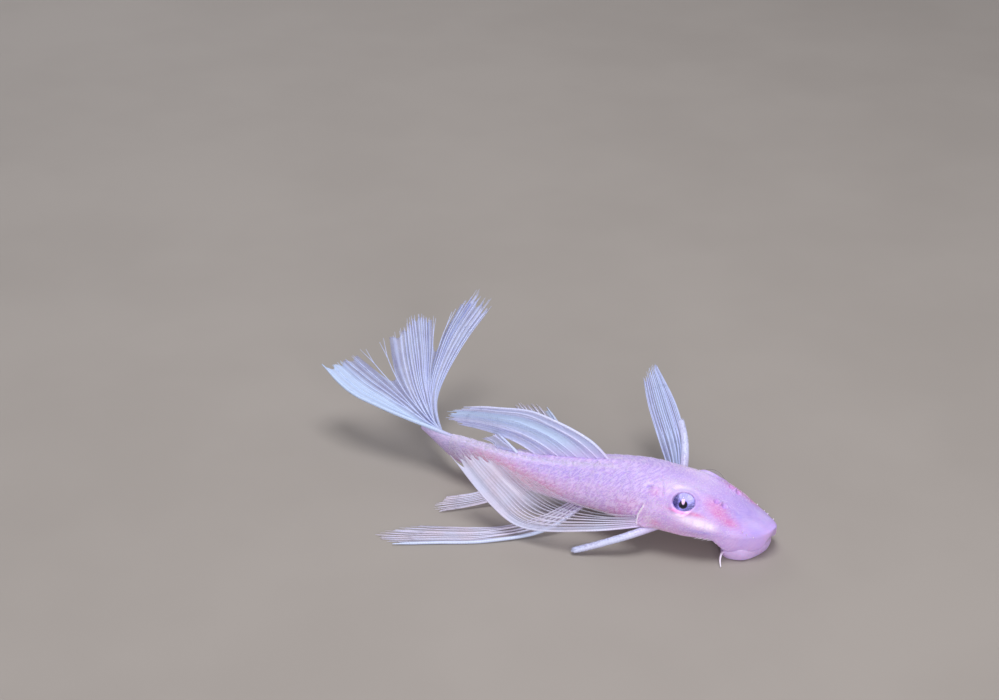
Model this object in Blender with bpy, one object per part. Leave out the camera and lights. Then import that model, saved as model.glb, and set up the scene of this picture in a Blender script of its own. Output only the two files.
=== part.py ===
"""Long-finned bristlenose pleco, a life-size still model that rests on its mouth and lower fins.

Sizes are in millimetres and become metres where a mesh is made. A place on the fish is
(s, left, z): s runs back from the snout tip along the body, left is towards the fish's own
left side (its right side is minus), and z is the height over the floor. In the finished model
+X points from the tail to the snout, +Y to the fish's left and +Z up, and the origin is the
middle of the underside of the whole model's box.
"""
import math

import bmesh
import bpy
import numpy as np
from mathutils import Vector

MM = 0.001
WELD_DISTANCE = 0.002
SHARP_ANGLE = math.radians(50.0)

# Driving sizes of the body
STANDARD_LENGTH = 66.5
HEAD_END = 21.7
TORSO_END = 47.7
GAP = 0.3
TAIL_TURN = math.radians(6.5)
TAIL_TURN_START = 30.0
HEAD_TURN = math.radians(9.0)
HEAD_ROLL = math.radians(5.0)
HEAD_TURN_ENDS = (17.0, 31.0)
HEAD_RINGS = 19
HEAD_CROWDING = 1.7
CUTTER_RINGS = 48
CUTTER_CROWDING = 1.3

# Body stations: s, half width, height of the belly, of the widest line and of the back
STATIONS = (
    (0.0, 0.3, 4.5, 4.9, 5.2),
    (1.0, 2.8, 3.5, 4.5, 5.4),
    (3.0, 4.75, 2.9, 4.3, 6.2),
    (6.0, 6.35, 2.7, 4.4, 7.9),
    (10.0, 7.9, 2.75, 4.8, 10.3),
    (16.0, 8.8, 2.9, 5.1, 12.15),
    (20.0, 8.85, 3.2, 5.4, 12.7),
    (25.0, 8.4, 3.8, 5.9, 13.0),
    (32.0, 7.3, 3.9, 6.2, 12.3),
    (40.0, 6.1, 3.5, 5.9, 10.8),
    (48.0, 4.85, 3.2, 5.7, 9.6),
    (54.0, 3.6, 3.15, 5.75, 9.1),
    (60.0, 2.55, 3.35, 6.1, 9.0),
    (64.0, 2.0, 3.7, 6.45, 9.2),
    (66.5, 1.3, 4.4, 6.8, 9.2),
)

# Roundness of a section over and under its widest line: the power at the snout and its fall to the tail
BACK_ROUNDNESS = (2.25, 0.35)
BELLY_ROUNDNESS = (2.7, 0.7)

# Bony plates: five rows a side, each row two columns wide, with a smooth belly below them
ROWS = 5
ROW_ANGLE = math.radians(23.0)
BELLY_COLUMNS = 4
TORSO_PLATES = 12
TAIL_PLATES = 9
PLATE_LOW = -0.12
PLATE_HIGH = 0.14
KEEL_HEIGHT = 0.12
PLATE_STEP = 0.12
PLATE_POINT = 0.35
SEAM_POINT = -0.14

# Eyes, nostrils and cheek thorns
EYE_S = 14.9
EYE_ANGLE = math.radians(43.5)
EYE_RADIUS = 3.0
EYE_SUNK = 2.25
ORBIT_RIM = 0.34
ORBIT_RIM_SUNK = 0.1
ORBIT_RISE = 0.55
ORBIT_REACH = 3.2
NOSTRIL_S = 9.4
NOSTRIL_ANGLE = math.radians(22.0)
NOSTRIL_RADIUS = 0.6
NOSTRIL_SHIFT = 0.75
FLAP_RADII = (0.8, 0.24, 0.75)
THORNS = 4
THORN_FIRST_S = 10.6
THORN_FIRST_ANGLE = math.radians(112.0)
THORN_STEP_ANGLE = math.radians(3.0)
THORN_LEAN = 1.1
THORN_GROW = (-0.5, 0.75)
THORN_RADII = (0.3, 0.08)

# Mouth: share of the disc's size and height for the lips' levels, then the shares just under the head
DISC_CENTRE_S = 5.7
DISC_LENGTH = 9.0
DISC_WIDTH = 12.0
DISC_SIDES = 24
DISC_LOBES = 6
DISC_LOBE_DEPTH = 0.03
LIP_LEVELS = ((0.78, 0.0), (0.97, 0.3), (1.0, 0.85), (0.94, 1.5))
LIP_TOPS = (0.84, 0.45)
SLOT_CENTRE = (4.8, -0.1)
SLOT_RADII = (0.8, 2.6, 1.3)
BARBEL_PATH = ((7.6, 3.9, 1.2), (7.6, 6.4, 1.2), (6.4, 8.8, 0.35))
BARBEL_RADII = (0.55, 0.16)

# Fin thickness: half of it at a ray and between two rays, at the root and at the tip
RAY_HALF = (0.5, 0.2)
WEB_HALF = (0.3, 0.14)
WEB_END = 0.94
SPINE_RADII = (0.85, 0.62)
FLOOR_SNAP = 0.3


def place(s, left, z):
    """A place on the fish in the model's axes, still in millimetres."""
    return np.array((-s, left, z), dtype=float)


def catmull_rom(points, t):
    """A smooth curve through all the points, at t from 0 to 1."""
    points = np.asarray(points, dtype=float)
    spans = len(points) - 1
    index = min(int(t * spans), spans - 1)
    f = t * spans - index
    p1 = points[index]
    p2 = points[index + 1]
    p0 = points[index - 1] if index > 0 else 2.0 * p1 - p2
    p3 = points[index + 2] if index + 2 <= spans else 2.0 * p2 - p1
    return 0.5 * (2.0 * p1 + (p2 - p0) * f + (2.0 * p0 - 5.0 * p1 + 4.0 * p2 - p3) * f ** 2
                  + (3.0 * p1 - p0 - 3.0 * p2 + p3) * f ** 3)


def hermite_table(knots, values, t):
    """A smooth value between uneven knots, with no overshoot past its neighbours."""
    index = int(np.clip(np.searchsorted(knots, t) - 1, 0, len(knots) - 2))
    width = knots[index + 1] - knots[index]
    slopes = np.diff(values, axis=0) / np.diff(knots)[:, None]

    def tangent(k):
        if k == 0:
            return slopes[0]
        if k == len(knots) - 1:
            return slopes[-1]
        before = slopes[k - 1]
        after = slopes[k]
        mean = 2.0 * before * after / np.where(before + after == 0.0, 1.0, before + after)
        return np.where(before * after > 0.0, mean, 0.0)

    f = (t - knots[index]) / width
    m0 = tangent(index) * width
    m1 = tangent(index + 1) * width
    return ((2 * f ** 3 - 3 * f ** 2 + 1) * values[index] + (f ** 3 - 2 * f ** 2 + f) * m0
            + (3 * f ** 2 - 2 * f ** 3) * values[index + 1] + (f ** 3 - f ** 2) * m1)


STATION_KNOTS = np.sqrt(np.array([row[0] for row in STATIONS]))
STATION_VALUES = np.array([row[1:] for row in STATIONS])


def axis_at(s):
    """Sideways place of the body's axis, and how far its sections turn and roll.

    The axis bends to the left at the tail. The head looks a little to the right, and rolls to the left.
    """
    span = STANDARD_LENGTH - TAIL_TURN_START
    f = max(0.0, (s - TAIL_TURN_START) / span)
    shift = TAIL_TURN * span * (f ** 3 - f ** 4 / 2.0)
    turn = TAIL_TURN * (3 * f ** 2 - 2 * f ** 3)
    g = (s - HEAD_TURN_ENDS[0]) / (HEAD_TURN_ENDS[1] - HEAD_TURN_ENDS[0])
    g = min(max(g, 0.0), 1.0)
    share = 1.0 - 3 * g ** 2 + 2 * g ** 3
    return shift, turn + HEAD_TURN * share, HEAD_ROLL * share


def section_at(s):
    """Half width of the body, and its heights at the belly, at the widest line and at the back."""
    return hermite_table(STATION_KNOTS, STATION_VALUES, math.sqrt(max(s, 0.0)))


def on_section(s, lateral, z, level=False):
    """A place on the section at s, lateral millimetres to the left of the axis; level leaves the roll out."""
    shift, turn, roll = axis_at(s)
    drop = 0.0 if level else lateral * math.sin(roll)
    return place(s - lateral * math.sin(turn), shift + lateral * math.cos(turn), z - drop)


def body_point(s, angle, grow=0.0):
    """A point of the skin; the angle is 0 on the back, plus on the left and minus on the right."""
    half, low, wide, top = section_at(s)
    rise = math.cos(angle)
    at_root, fall = BACK_ROUNDNESS if rise >= 0.0 else BELLY_ROUNDNESS
    power = 2.0 / (at_root - fall * max(s, 0.0) / STANDARD_LENGTH)
    reach = top - wide if rise >= 0.0 else wide - low
    lateral = (half + grow) * abs(math.sin(angle)) ** power
    z = wide + math.copysign((reach + grow) * abs(rise) ** power, rise)
    return on_section(s, math.copysign(lateral, math.sin(angle)), z)


def body_normal(s, angle):
    """The skin's outward direction at a point."""
    step = 0.02
    along = body_point(s + step, angle) - body_point(s - step, angle)
    around = body_point(s, angle + step) - body_point(s, angle - step)
    normal = np.cross(around, along)
    return normal / np.linalg.norm(normal)


def material(name, colour, roughness):
    """A plain finish for one part."""
    made = bpy.data.materials.get(name) or bpy.data.materials.new(name)
    made.use_nodes = True
    shader = made.node_tree.nodes["Principled BSDF"]
    shader.inputs["Base Color"].default_value = (*colour, 1.0)
    shader.inputs["Roughness"].default_value = roughness
    shader.inputs["Metallic"].default_value = 0.0
    return made


def mesh_object(name, points, faces, finish=None):
    """One object from points in millimetres."""
    mesh = bpy.data.meshes.new(name)
    mesh.from_pydata([tuple(float(c) * MM for c in p) for p in points], [], faces)
    shaped = bmesh.new()
    shaped.from_mesh(mesh)
    bmesh.ops.recalc_face_normals(shaped, faces=shaped.faces)
    bmesh.ops.triangulate(shaped, faces=[f for f in shaped.faces if len(f.verts) > 4])
    shaped.to_mesh(mesh)
    shaped.free()
    mesh.shade_smooth()
    made = bpy.data.objects.new(name, mesh)
    bpy.context.scene.collection.objects.link(made)
    if finish:
        mesh.materials.append(finish)
    return made


def apply_boolean(target, operation, other=None, group=None):
    """Apply one Boolean, with an object or with a collection, and keep the result as the target's mesh."""
    cut = target.modifiers.new(operation.lower(), "BOOLEAN")
    cut.operation = operation
    cut.solver = "EXACT"
    if group:
        cut.operand_type = "COLLECTION"
        cut.collection = group
    else:
        cut.object = other
    bpy.context.view_layer.update()
    evaluated = target.evaluated_get(bpy.context.evaluated_depsgraph_get())
    result = bpy.data.meshes.new_from_object(evaluated)
    target.modifiers.clear()
    target.data = result
    result.name = target.name


def join_pieces(target, pieces):
    """One union of the target with all its small pieces, which are then removed."""
    group = bpy.data.collections.new(target.name + "_pieces")
    bpy.context.scene.collection.children.link(group)
    for piece in pieces:
        bpy.context.scene.collection.objects.unlink(piece)
        group.objects.link(piece)
    apply_boolean(target, "UNION", group=group)
    for piece in pieces:
        bpy.data.objects.remove(piece)
    bpy.data.collections.remove(group)


def cut_away(target, cutter):
    """Cut a shape out of the target and remove the cutter."""
    apply_boolean(target, "DIFFERENCE", other=cutter)
    bpy.data.objects.remove(cutter)


def keep_largest(target):
    """Keep only the largest closed surface of a node, as triangles."""
    shaped = bmesh.new()
    shaped.from_mesh(target.data)
    bmesh.ops.remove_doubles(shaped, verts=shaped.verts, dist=WELD_DISTANCE * MM)
    bmesh.ops.triangulate(shaped, faces=shaped.faces)
    left = set(shaped.faces)
    islands = []
    while left:
        island = set()
        stack = [left.pop()]
        while stack:
            face = stack.pop()
            island.add(face)
            for edge in face.edges:
                for other in edge.link_faces:
                    if other in left:
                        left.discard(other)
                        stack.append(other)
        islands.append(island)
    largest = max(islands, key=lambda island: sum(face.calc_area() for face in island))
    loose = [face for island in islands if island is not largest for face in island]
    bmesh.ops.delete(shaped, geom=loose, context="FACES")
    shaped.to_mesh(target.data)
    shaped.free()
    target.data.shade_smooth()
    target.data.set_sharp_from_angle(angle=SHARP_ANGLE)


def column_angles():
    """Angles of the skin's columns, once round from the back by the left side."""
    half = [k * ROW_ANGLE / 2.0 for k in range(2 * ROWS + 1)]
    edge = half[-1]
    half += [edge + (math.pi - edge) * k / BELLY_COLUMNS for k in range(1, BELLY_COLUMNS)]
    return half + [math.pi] + [-angle for angle in reversed(half[1:])]


def loft(name, rings, finish=None):
    """A closed skin from rings of points, with flat ends."""
    count = len(rings[0])
    points = [point for ring in rings for point in ring]
    faces = []
    for row in range(len(rings) - 1):
        for k in range(count):
            a = row * count + k
            b = row * count + (k + 1) % count
            faces.append((a, b, b + count))
            faces.append((a, b + count, a + count))
    for start in (0, (len(rings) - 1) * count):
        middle = len(points)
        points.append(np.mean(points[start:start + count], axis=0))
        faces += [(start + k, start + (k + 1) % count, middle) for k in range(count)]
    return mesh_object(name, points, faces, finish)


def plated_rings(start, end, plates):
    """Rings of the plated body: each plate rises to its rear edge, which ends in points.

    A level is (s, height, point): point is 1 where the keels stand up and the edges are pointed.
    """
    pitch = (end - start) / plates
    levels = [(start, 0.0, 0.0)]
    for k in range(plates):
        front = start + k * pitch
        levels.append((front + PLATE_STEP, PLATE_LOW, 1.0 if k else 0.0))
        levels.append((front + pitch - PLATE_STEP, PLATE_HIGH, 1.0 if k < plates - 1 else 0.0))
    levels.append((end, 0.0, 0.0))
    rings = []
    for s, height, point in levels:
        ring = []
        for angle in column_angles():
            column = round(abs(angle) / (0.5 * ROW_ANGLE))
            if column >= 2 * ROWS:
                ring.append(body_point(s, angle))
            elif column % 2 == 0:
                ring.append(body_point(s + point * SEAM_POINT, angle, height))
            else:
                ring.append(body_point(s + point * PLATE_POINT, angle, height + point * KEEL_HEIGHT))
        rings.append(ring)
    return rings


def head_rings():
    """Rings of the head: close together at the blunt snout, with a swelling round each eye."""
    rings = []
    for k in range(HEAD_RINGS + 1):
        s = HEAD_END * (k / HEAD_RINGS) ** HEAD_CROWDING
        ring = []
        for angle in column_angles():
            point = body_point(s, angle)
            near = min(np.linalg.norm(point - body_point(EYE_S, side * EYE_ANGLE)) for side in (1, -1))
            ring.append(body_point(s, angle, ORBIT_RISE * math.exp(-(near / ORBIT_REACH) ** 2)))
        rings.append(ring)
    return rings


def eye_centre(side):
    """Centre of the left (1) or right (-1) eyeball, which is sunk in the swelling round it."""
    surface = body_point(EYE_S, side * EYE_ANGLE, ORBIT_RISE)
    return surface - EYE_SUNK * body_normal(EYE_S, side * EYE_ANGLE)


def ball(name, centre, radii, axes=None, rings=10, sides=16, finish=None):
    """An ellipsoid; the axes are its three directions, or the world's."""
    axes = np.eye(3) if axes is None else np.asarray(axes)
    points = [centre + axes[2] * radii[2]]
    for i in range(1, rings):
        polar = math.pi * i / rings
        for k in range(sides):
            turn = 2.0 * math.pi * k / sides
            offset = (axes[0] * radii[0] * math.sin(polar) * math.cos(turn)
                      + axes[1] * radii[1] * math.sin(polar) * math.sin(turn)
                      + axes[2] * radii[2] * math.cos(polar))
            points.append(centre + offset)
    points.append(centre - axes[2] * radii[2])
    last = len(points) - 1
    faces = [(0, 1 + k, 1 + (k + 1) % sides) for k in range(sides)]
    for i in range(rings - 2):
        for k in range(sides):
            a = 1 + i * sides + k
            b = 1 + i * sides + (k + 1) % sides
            faces.append((a, a + sides, b + sides))
            faces.append((a, b + sides, b))
    faces += [(last, last - sides + (k + 1) % sides, last - sides + k) for k in range(sides)]
    return mesh_object(name, points, faces, finish)


def frame_of(direction):
    """Two directions square to a direction, and the direction itself."""
    direction = np.asarray(direction) / np.linalg.norm(direction)
    helper = np.array((0.0, 0.0, 1.0)) if abs(direction[2]) < 0.9 else np.array((1.0, 0.0, 0.0))
    first = np.cross(helper, direction)
    first = first / np.linalg.norm(first)
    return np.array((first, np.cross(direction, first), direction))


def ring_tube(name, centre, normal, radius, thick, rings=16, sides=6):
    """A ring of round section that lies square to the normal."""
    across, up, out = frame_of(normal)
    points = []
    for i in range(rings):
        turn = 2.0 * math.pi * i / rings
        spoke = math.cos(turn) * across + math.sin(turn) * up
        for k in range(sides):
            roll = 2.0 * math.pi * k / sides
            points.append(centre + spoke * (radius + thick * math.cos(roll)) + out * thick * math.sin(roll))
    faces = []
    for i in range(rings):
        for k in range(sides):
            a = i * sides + k
            b = i * sides + (k + 1) % sides
            c = ((i + 1) % rings) * sides + (k + 1) % sides
            d = ((i + 1) % rings) * sides + k
            faces.append((a, d, c))
            faces.append((a, c, b))
    return mesh_object(name, points, faces)


def rod(name, path, radii, rings=8, sides=8, floor=False):
    """A tapering round rod along a smooth path, with domed ends."""
    points = []
    for i in range(rings + 1):
        t = i / rings
        centre = catmull_rom(path, t)
        ahead = catmull_rom(path, min(1.0, t + 0.02)) - catmull_rom(path, max(0.0, t - 0.02))
        across, up, _ = frame_of(ahead)
        radius = radii[0] + (radii[1] - radii[0]) * t
        for k in range(sides):
            roll = 2.0 * math.pi * (k + 0.5) / sides
            points.append(centre + radius * (math.cos(roll) * across + math.sin(roll) * up))
    start = np.asarray(path[0], dtype=float)
    end = np.asarray(path[-1], dtype=float)
    points.append(start - 0.5 * radii[0] * frame_of(catmull_rom(path, 0.02) - start)[2])
    points.append(end + 0.5 * radii[1] * frame_of(end - catmull_rom(path, 0.98))[2])
    if floor:
        points = [np.array((p[0], p[1], 0.0 if p[2] < FLOOR_SNAP / 2.0 else p[2])) for p in points]
    faces = []
    for i in range(rings):
        for k in range(sides):
            a = i * sides + k
            b = i * sides + (k + 1) % sides
            faces.append((a, b, b + sides))
            faces.append((a, b + sides, a + sides))
    tail = rings * sides
    faces += [(len(points) - 2, (k + 1) % sides, k) for k in range(sides)]
    faces += [(len(points) - 1, tail + k, tail + (k + 1) % sides) for k in range(sides)]
    return mesh_object(name, points, faces)


def fin_surface(keys, u, v):
    """A point of a fin's middle sheet: v runs along each key ray, u across the rays."""
    across = [catmull_rom(ray, v) for ray in keys]
    return catmull_rom(across, u)


def fin_web(keys, rays, rows, clefts=(), lead=1.0):
    """Points and faces of a ridged fin: each ray is a ridge on both faces of the web.

    The web ends a little short of the ray tips, and far short of them at a cleft, which is
    given as (number of the ray before it, share of the ray's length that the web reaches).
    The first ray is lead times as thick as the others.
    """
    columns = 2 * rays - 1
    reach = dict(clefts)
    upper = []
    lower = []
    for c in range(columns):
        u = c / (columns - 1)
        is_ray = c % 2 == 0
        end = 1.0 if is_ray else reach.get(c // 2, WEB_END)
        half = RAY_HALF if is_ray else WEB_HALF
        bold = lead if c == 0 else 1.0
        for j in range(rows + 1):
            v = end * j / rows
            du = fin_surface(keys, min(1.0, u + 0.01), v) - fin_surface(keys, max(0.0, u - 0.01), v)
            dv = fin_surface(keys, u, min(1.0, v + 0.01)) - fin_surface(keys, u, max(0.0, v - 0.01))
            normal = np.cross(du, dv)
            normal = normal / max(np.linalg.norm(normal), 1e-9)
            middle = fin_surface(keys, u, v)
            depth = bold * (half[0] + (half[1] - half[0]) * v)
            upper.append(middle + depth * normal)
            lower.append(middle - depth * normal)
    for side in (upper, lower):
        for k, point in enumerate(side):
            if point[2] < FLOOR_SNAP:
                side[k] = np.array((point[0], point[1], 0.0))
    count = len(upper)
    stride = rows + 1
    faces = []
    for c in range(columns - 1):
        for j in range(rows):
            a = c * stride + j
            b = a + stride
            faces.append((a, b, b + 1))
            faces.append((a, b + 1, a + 1))
            faces.append((a + count, b + 1 + count, b + count))
            faces.append((a + count, a + 1 + count, b + 1 + count))
    rim = list(range(rows))
    rim += [c * stride + rows for c in range(columns - 1)]
    rim += [(columns - 1) * stride + j for j in range(rows, 0, -1)]
    rim += [c * stride for c in range(columns - 1, 0, -1)]
    for k, a in enumerate(rim):
        b = rim[(k + 1) % len(rim)]
        faces.append((a, b, b + count))
        faces.append((a, b + count, a + count))
    return upper + lower, faces


def body_cutter():
    """The whole body, swollen by the gap that every fin keeps to it."""
    rings = []
    for k in range(CUTTER_RINGS + 1):
        s = STANDARD_LENGTH * (k / CUTTER_RINGS) ** CUTTER_CROWDING
        rings.append([body_point(s, angle, GAP + PLATE_HIGH) for angle in column_angles()])
    beyond = place(GAP, 0.0, 0.0)
    rings.append([point + beyond for point in rings[-1]])
    return loft("body_cutter", rings)


def fin_node(name, keys, rays, rows, finish, spine=None, **web):
    """A whole fin: the ridged web, its stout spine where it has one, and a root cut to the body."""
    points, faces = fin_web([[place(*p) for p in ray] for ray in keys], rays, rows, **web)
    fin = mesh_object(name, points, faces, finish)
    if spine:
        path = [place(*p) for p in spine]
        join_pieces(fin, [rod(name + "_spine", path, SPINE_RADII, floor=True)])
    cut_away(fin, body_cutter())
    keep_largest(fin)


def make_head(finish):
    """The head with its orbit rims, nostrils and cheek thorns, and a socket for each eye."""
    head = loft("head", head_rings(), finish)
    pieces = []
    for side in (1, -1):
        centre = eye_centre(side)
        normal = body_normal(EYE_S, side * EYE_ANGLE)
        opening = math.sqrt((EYE_RADIUS + GAP) ** 2 - EYE_SUNK ** 2)
        rim_centre = centre + (EYE_SUNK - ORBIT_RIM_SUNK) * normal
        pieces.append(ring_tube("orbit_rim", rim_centre, normal, opening + 0.5 * ORBIT_RIM, ORBIT_RIM))
        pieces.append(nostril_flap(side))
        for k in range(THORNS):
            pieces.append(cheek_thorn(side, k))
    join_pieces(head, pieces)
    for side in (1, -1):
        socket = EYE_RADIUS + GAP
        cut_away(head, ball("socket", eye_centre(side), (socket,) * 3, rings=9, sides=14))
        for shift in (-NOSTRIL_SHIFT, NOSTRIL_SHIFT):
            centre = body_point(NOSTRIL_S + shift, side * NOSTRIL_ANGLE)
            cut_away(head, ball("nostril", centre, (NOSTRIL_RADIUS,) * 3, rings=5, sides=6))
    keep_largest(head)


def nostril_flap(side):
    """The low flap of skin that stands between the two openings of a nostril."""
    normal = body_normal(NOSTRIL_S, side * NOSTRIL_ANGLE)
    along = body_point(NOSTRIL_S + 0.5, side * NOSTRIL_ANGLE) - body_point(NOSTRIL_S, side * NOSTRIL_ANGLE)
    along = along / np.linalg.norm(along)
    across = np.cross(normal, along)
    centre = body_point(NOSTRIL_S, side * NOSTRIL_ANGLE)
    return ball("flap", centre, FLAP_RADII, (across, along, normal), rings=5, sides=6)


def cheek_thorn(side, k):
    """One of the short thorns on the lower edge of the cheek, leaning back."""
    s = THORN_FIRST_S + k
    angle = side * (THORN_FIRST_ANGLE - THORN_STEP_ANGLE * k)
    root = body_point(s, angle, THORN_GROW[0])
    tip = body_point(s + THORN_LEAN, angle, THORN_GROW[1])
    return rod("thorn", [root, 0.5 * (root + tip), tip], THORN_RADII, rings=2, sides=6)


def underside_z(s, lateral):
    """Height of the head's underside at a place on its section."""
    half, low, wide, _ = section_at(s)
    power = BELLY_ROUNDNESS[0] - BELLY_ROUNDNESS[1] * s / STANDARD_LENGTH
    share = min(abs(lateral) / half, 0.999)
    return wide - (wide - low) * (1.0 - share ** power) ** (1.0 / power)


def disc_ring(share, height=None):
    """One level of the lips, at a height or else just under the head."""
    ring = []
    for k in range(DISC_SIDES):
        turn = 2.0 * math.pi * k / DISC_SIDES
        size = 0.5 * share * (1.0 + DISC_LOBE_DEPTH * math.cos(DISC_LOBES * turn))
        s = DISC_CENTRE_S + DISC_LENGTH * size * math.cos(turn)
        lateral = DISC_WIDTH * size * math.sin(turn)
        if height is None:
            ring.append(on_section(s, lateral, underside_z(s, lateral) - GAP))
        else:
            ring.append(on_section(s, lateral, height, level=True))
    return ring


def make_mouth(finish):
    """The sucker mouth: two fleshy lips round a slot, flat where they hold the floor."""
    rings = [disc_ring(share, height) for share, height in LIP_LEVELS]
    rings += [disc_ring(share) for share in LIP_TOPS]
    mouth = loft("mouth_disc", rings, finish)
    barbels = []
    for side in (1, -1):
        path = [on_section(s, side * lateral, z, level=True) for s, lateral, z in BARBEL_PATH]
        barbels.append(rod("barbel", path, BARBEL_RADII, rings=5, sides=6, floor=True))
    join_pieces(mouth, barbels)
    slot_s, slot_z = SLOT_CENTRE
    cut_away(mouth, ball("mouth_slot", on_section(slot_s, 0.0, slot_z), SLOT_RADII, rings=8, sides=14))
    keep_largest(mouth)


FINS = {
    "dorsal_fin": dict(
        keys=(
            ((31.3, 0.0, 10.8), (37.5, 0.9, 15.2), (48.0, 2.2, 17.6), (57.0, 3.2, 16.6), (64.5, 3.9, 14.8)),
            ((36.0, 0.0, 10.4), (43.5, 1.5, 14.2), (52.0, 2.8, 15.3), (60.3, 3.6, 14.4), (68.2, 4.0, 12.9)),
            ((41.0, 0.2, 9.6), (47.5, 1.6, 12.4), (54.8, 3.0, 13.4), (62.0, 3.8, 12.7), (68.3, 4.1, 11.7)),
            ((45.5, 0.5, 8.8), (50.5, 1.9, 11.2), (55.5, 3.1, 11.9), (60.5, 3.9, 11.5), (66.0, 4.4, 10.9)),
        ),
        rays=8, rows=12, lead=1.25,
    ),
    "adipose_fin": dict(
        keys=(
            ((50.6, 0.6, 7.9), (53.6, 0.9, 10.6), (56.3, 1.2, 12.4)),
            ((52.6, 0.7, 7.9), (55.4, 1.0, 10.3), (58.0, 1.4, 11.3)),
            ((54.4, 0.8, 7.9), (57.2, 1.2, 9.9), (59.6, 1.5, 10.2)),
        ),
        rays=3, rows=5, lead=1.3,
    ),
    "anal_fin": dict(
        keys=(
            ((46.0, 0.3, 4.8), (50.0, -2.6, 2.1), (56.5, -7.0, 0.9), (63.5, -12.2, 0.5)),
            ((47.7, 0.4, 4.8), (52.0, -2.0, 2.2), (58.0, -5.8, 0.9), (65.0, -9.8, 0.5)),
            ((49.4, 0.5, 4.8), (53.6, -1.2, 2.4), (58.8, -4.2, 1.1), (64.4, -7.0, 0.6)),
        ),
        rays=5, rows=9,
    ),
    "caudal_fin": dict(
        keys=(
            ((63.5, 1.6, 8.6), (72.0, 2.5, 9.5), (81.0, 3.4, 10.7), (90.0, 5.2, 12.2), (99.3, 10.6, 14.1)),
            ((63.5, 1.6, 7.9), (71.5, 4.2, 9.0), (79.5, 7.4, 11.2), (87.0, 10.6, 13.6), (94.2, 14.4, 15.8)),
            ((63.5, 1.6, 7.1), (70.5, 4.8, 8.2), (76.5, 8.6, 11.6), (81.4, 13.6, 16.2), (85.7, 20.2, 20.9)),
            ((63.5, 1.6, 6.3), (70.8, 5.4, 7.6), (76.0, 11.0, 12.4), (80.0, 18.0, 18.0), (83.8, 25.0, 22.3)),
            ((63.5, 1.6, 5.5), (70.8, 5.8, 6.4), (75.4, 12.0, 11.8), (77.4, 19.0, 17.6), (79.0, 26.0, 22.2)),
            ((63.5, 1.6, 4.8), (70.6, 6.2, 5.2), (75.4, 13.0, 10.8), (76.4, 24.5, 17.6), (75.3, 37.2, 22.8)),
            ((63.5, 1.6, 4.0), (69.0, 6.2, 4.2), (74.2, 13.4, 9.4), (73.6, 24.0, 15.6), (70.8, 36.2, 21.4)),
        ),
        rays=16, rows=13, clefts=((3, 0.6), (10, 0.8)), lead=1.4,
    ),
    "pectoral_fin_right": dict(
        keys=(
            ((20.4, -6.6, 5.0), (32.0, -13.2, 4.8), (44.3, -14.2, 2.9), (52.0, -12.8, 5.6), (61.2, -9.6, 11.9)),
            ((20.6, -6.6, 5.7), (32.0, -12.6, 6.1), (43.5, -13.2, 4.6), (50.6, -11.6, 8.0), (58.5, -8.8, 13.4)),
            ((20.8, -6.6, 6.3), (31.0, -11.6, 7.0), (40.0, -11.8, 6.8), (47.2, -10.2, 9.0), (53.6, -8.0, 12.6)),
            ((21.0, -6.6, 6.9), (28.5, -10.6, 7.8), (35.5, -10.6, 8.3), (41.0, -9.6, 9.2), (46.0, -8.6, 10.6)),
        ),
        rays=6, rows=14,
        spine=((20.2, -6.4, 4.9), (24.7, -10.7, 4.1), (30.0, -13.1, 2.2), (34.8, -15.0, 0.62)),
    ),
    "pectoral_fin_left": dict(
        keys=(
            ((20.4, 6.6, 5.6), (22.1, 14.3, 9.8), (26.5, 22.4, 13.2), (34.1, 31.5, 17.0)),
            ((20.7, 6.6, 5.4), (23.8, 14.2, 9.2), (28.8, 22.3, 12.6), (35.0, 31.6, 16.8)),
            ((21.3, 6.6, 5.0), (26.5, 14.0, 8.0), (32.0, 22.0, 11.8), (35.6, 28.6, 15.0)),
        ),
        rays=6, rows=12,
        spine=((20.2, 6.4, 5.3), (21.3, 11.8, 8.5), (22.7, 15.8, 10.5), (24.8, 19.8, 12.1)),
    ),
    "pelvic_fin_right": dict(
        keys=(
            ((34.8, -3.2, 5.2), (41.0, -10.8, 1.3), (50.8, -17.6, 0.42), (59.5, -21.6, 0.42), (67.5, -25.2, 0.42)),
            ((35.8, -3.0, 5.2), (42.3, -9.4, 1.4), (52.0, -15.8, 0.42), (62.0, -20.0, 0.42), (71.5, -23.0, 0.42)),
            ((36.8, -2.6, 5.2), (43.2, -7.4, 1.8), (50.0, -11.8, 0.6), (57.0, -14.8, 0.42), (65.5, -17.4, 0.42)),
        ),
        rays=6, rows=12, lead=1.3,
    ),
    "pelvic_fin_left": dict(
        keys=(
            ((34.8, 3.2, 5.2), (39.7, 11.0, 1.3), (47.0, 20.2, 0.42), (53.0, 27.4, 0.42), (58.0, 33.4, 0.42)),
            ((35.8, 3.0, 5.2), (42.0, 9.8, 1.4), (50.4, 19.0, 0.42), (58.0, 26.8, 0.42), (64.5, 33.3, 0.42)),
            ((36.8, 2.6, 5.2), (43.5, 7.8, 1.8), (51.5, 15.2, 0.6), (58.5, 21.8, 0.42), (64.8, 27.6, 0.42)),
        ),
        rays=6, rows=12, lead=1.3,
    ),
}


def centre_on_floor():
    """Move the whole model so that its box stands on the origin."""
    shapes = [o for o in bpy.context.scene.objects if o.type == "MESH"]
    corners = np.array([v.co for o in shapes for v in o.data.vertices])
    low = corners.min(axis=0)
    high = corners.max(axis=0)
    shift = Vector((-(low[0] + high[0]) / 2.0, -(low[1] + high[1]) / 2.0, -low[2]))
    for shape in shapes:
        for vertex in shape.data.vertices:
            vertex.co += shift


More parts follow.
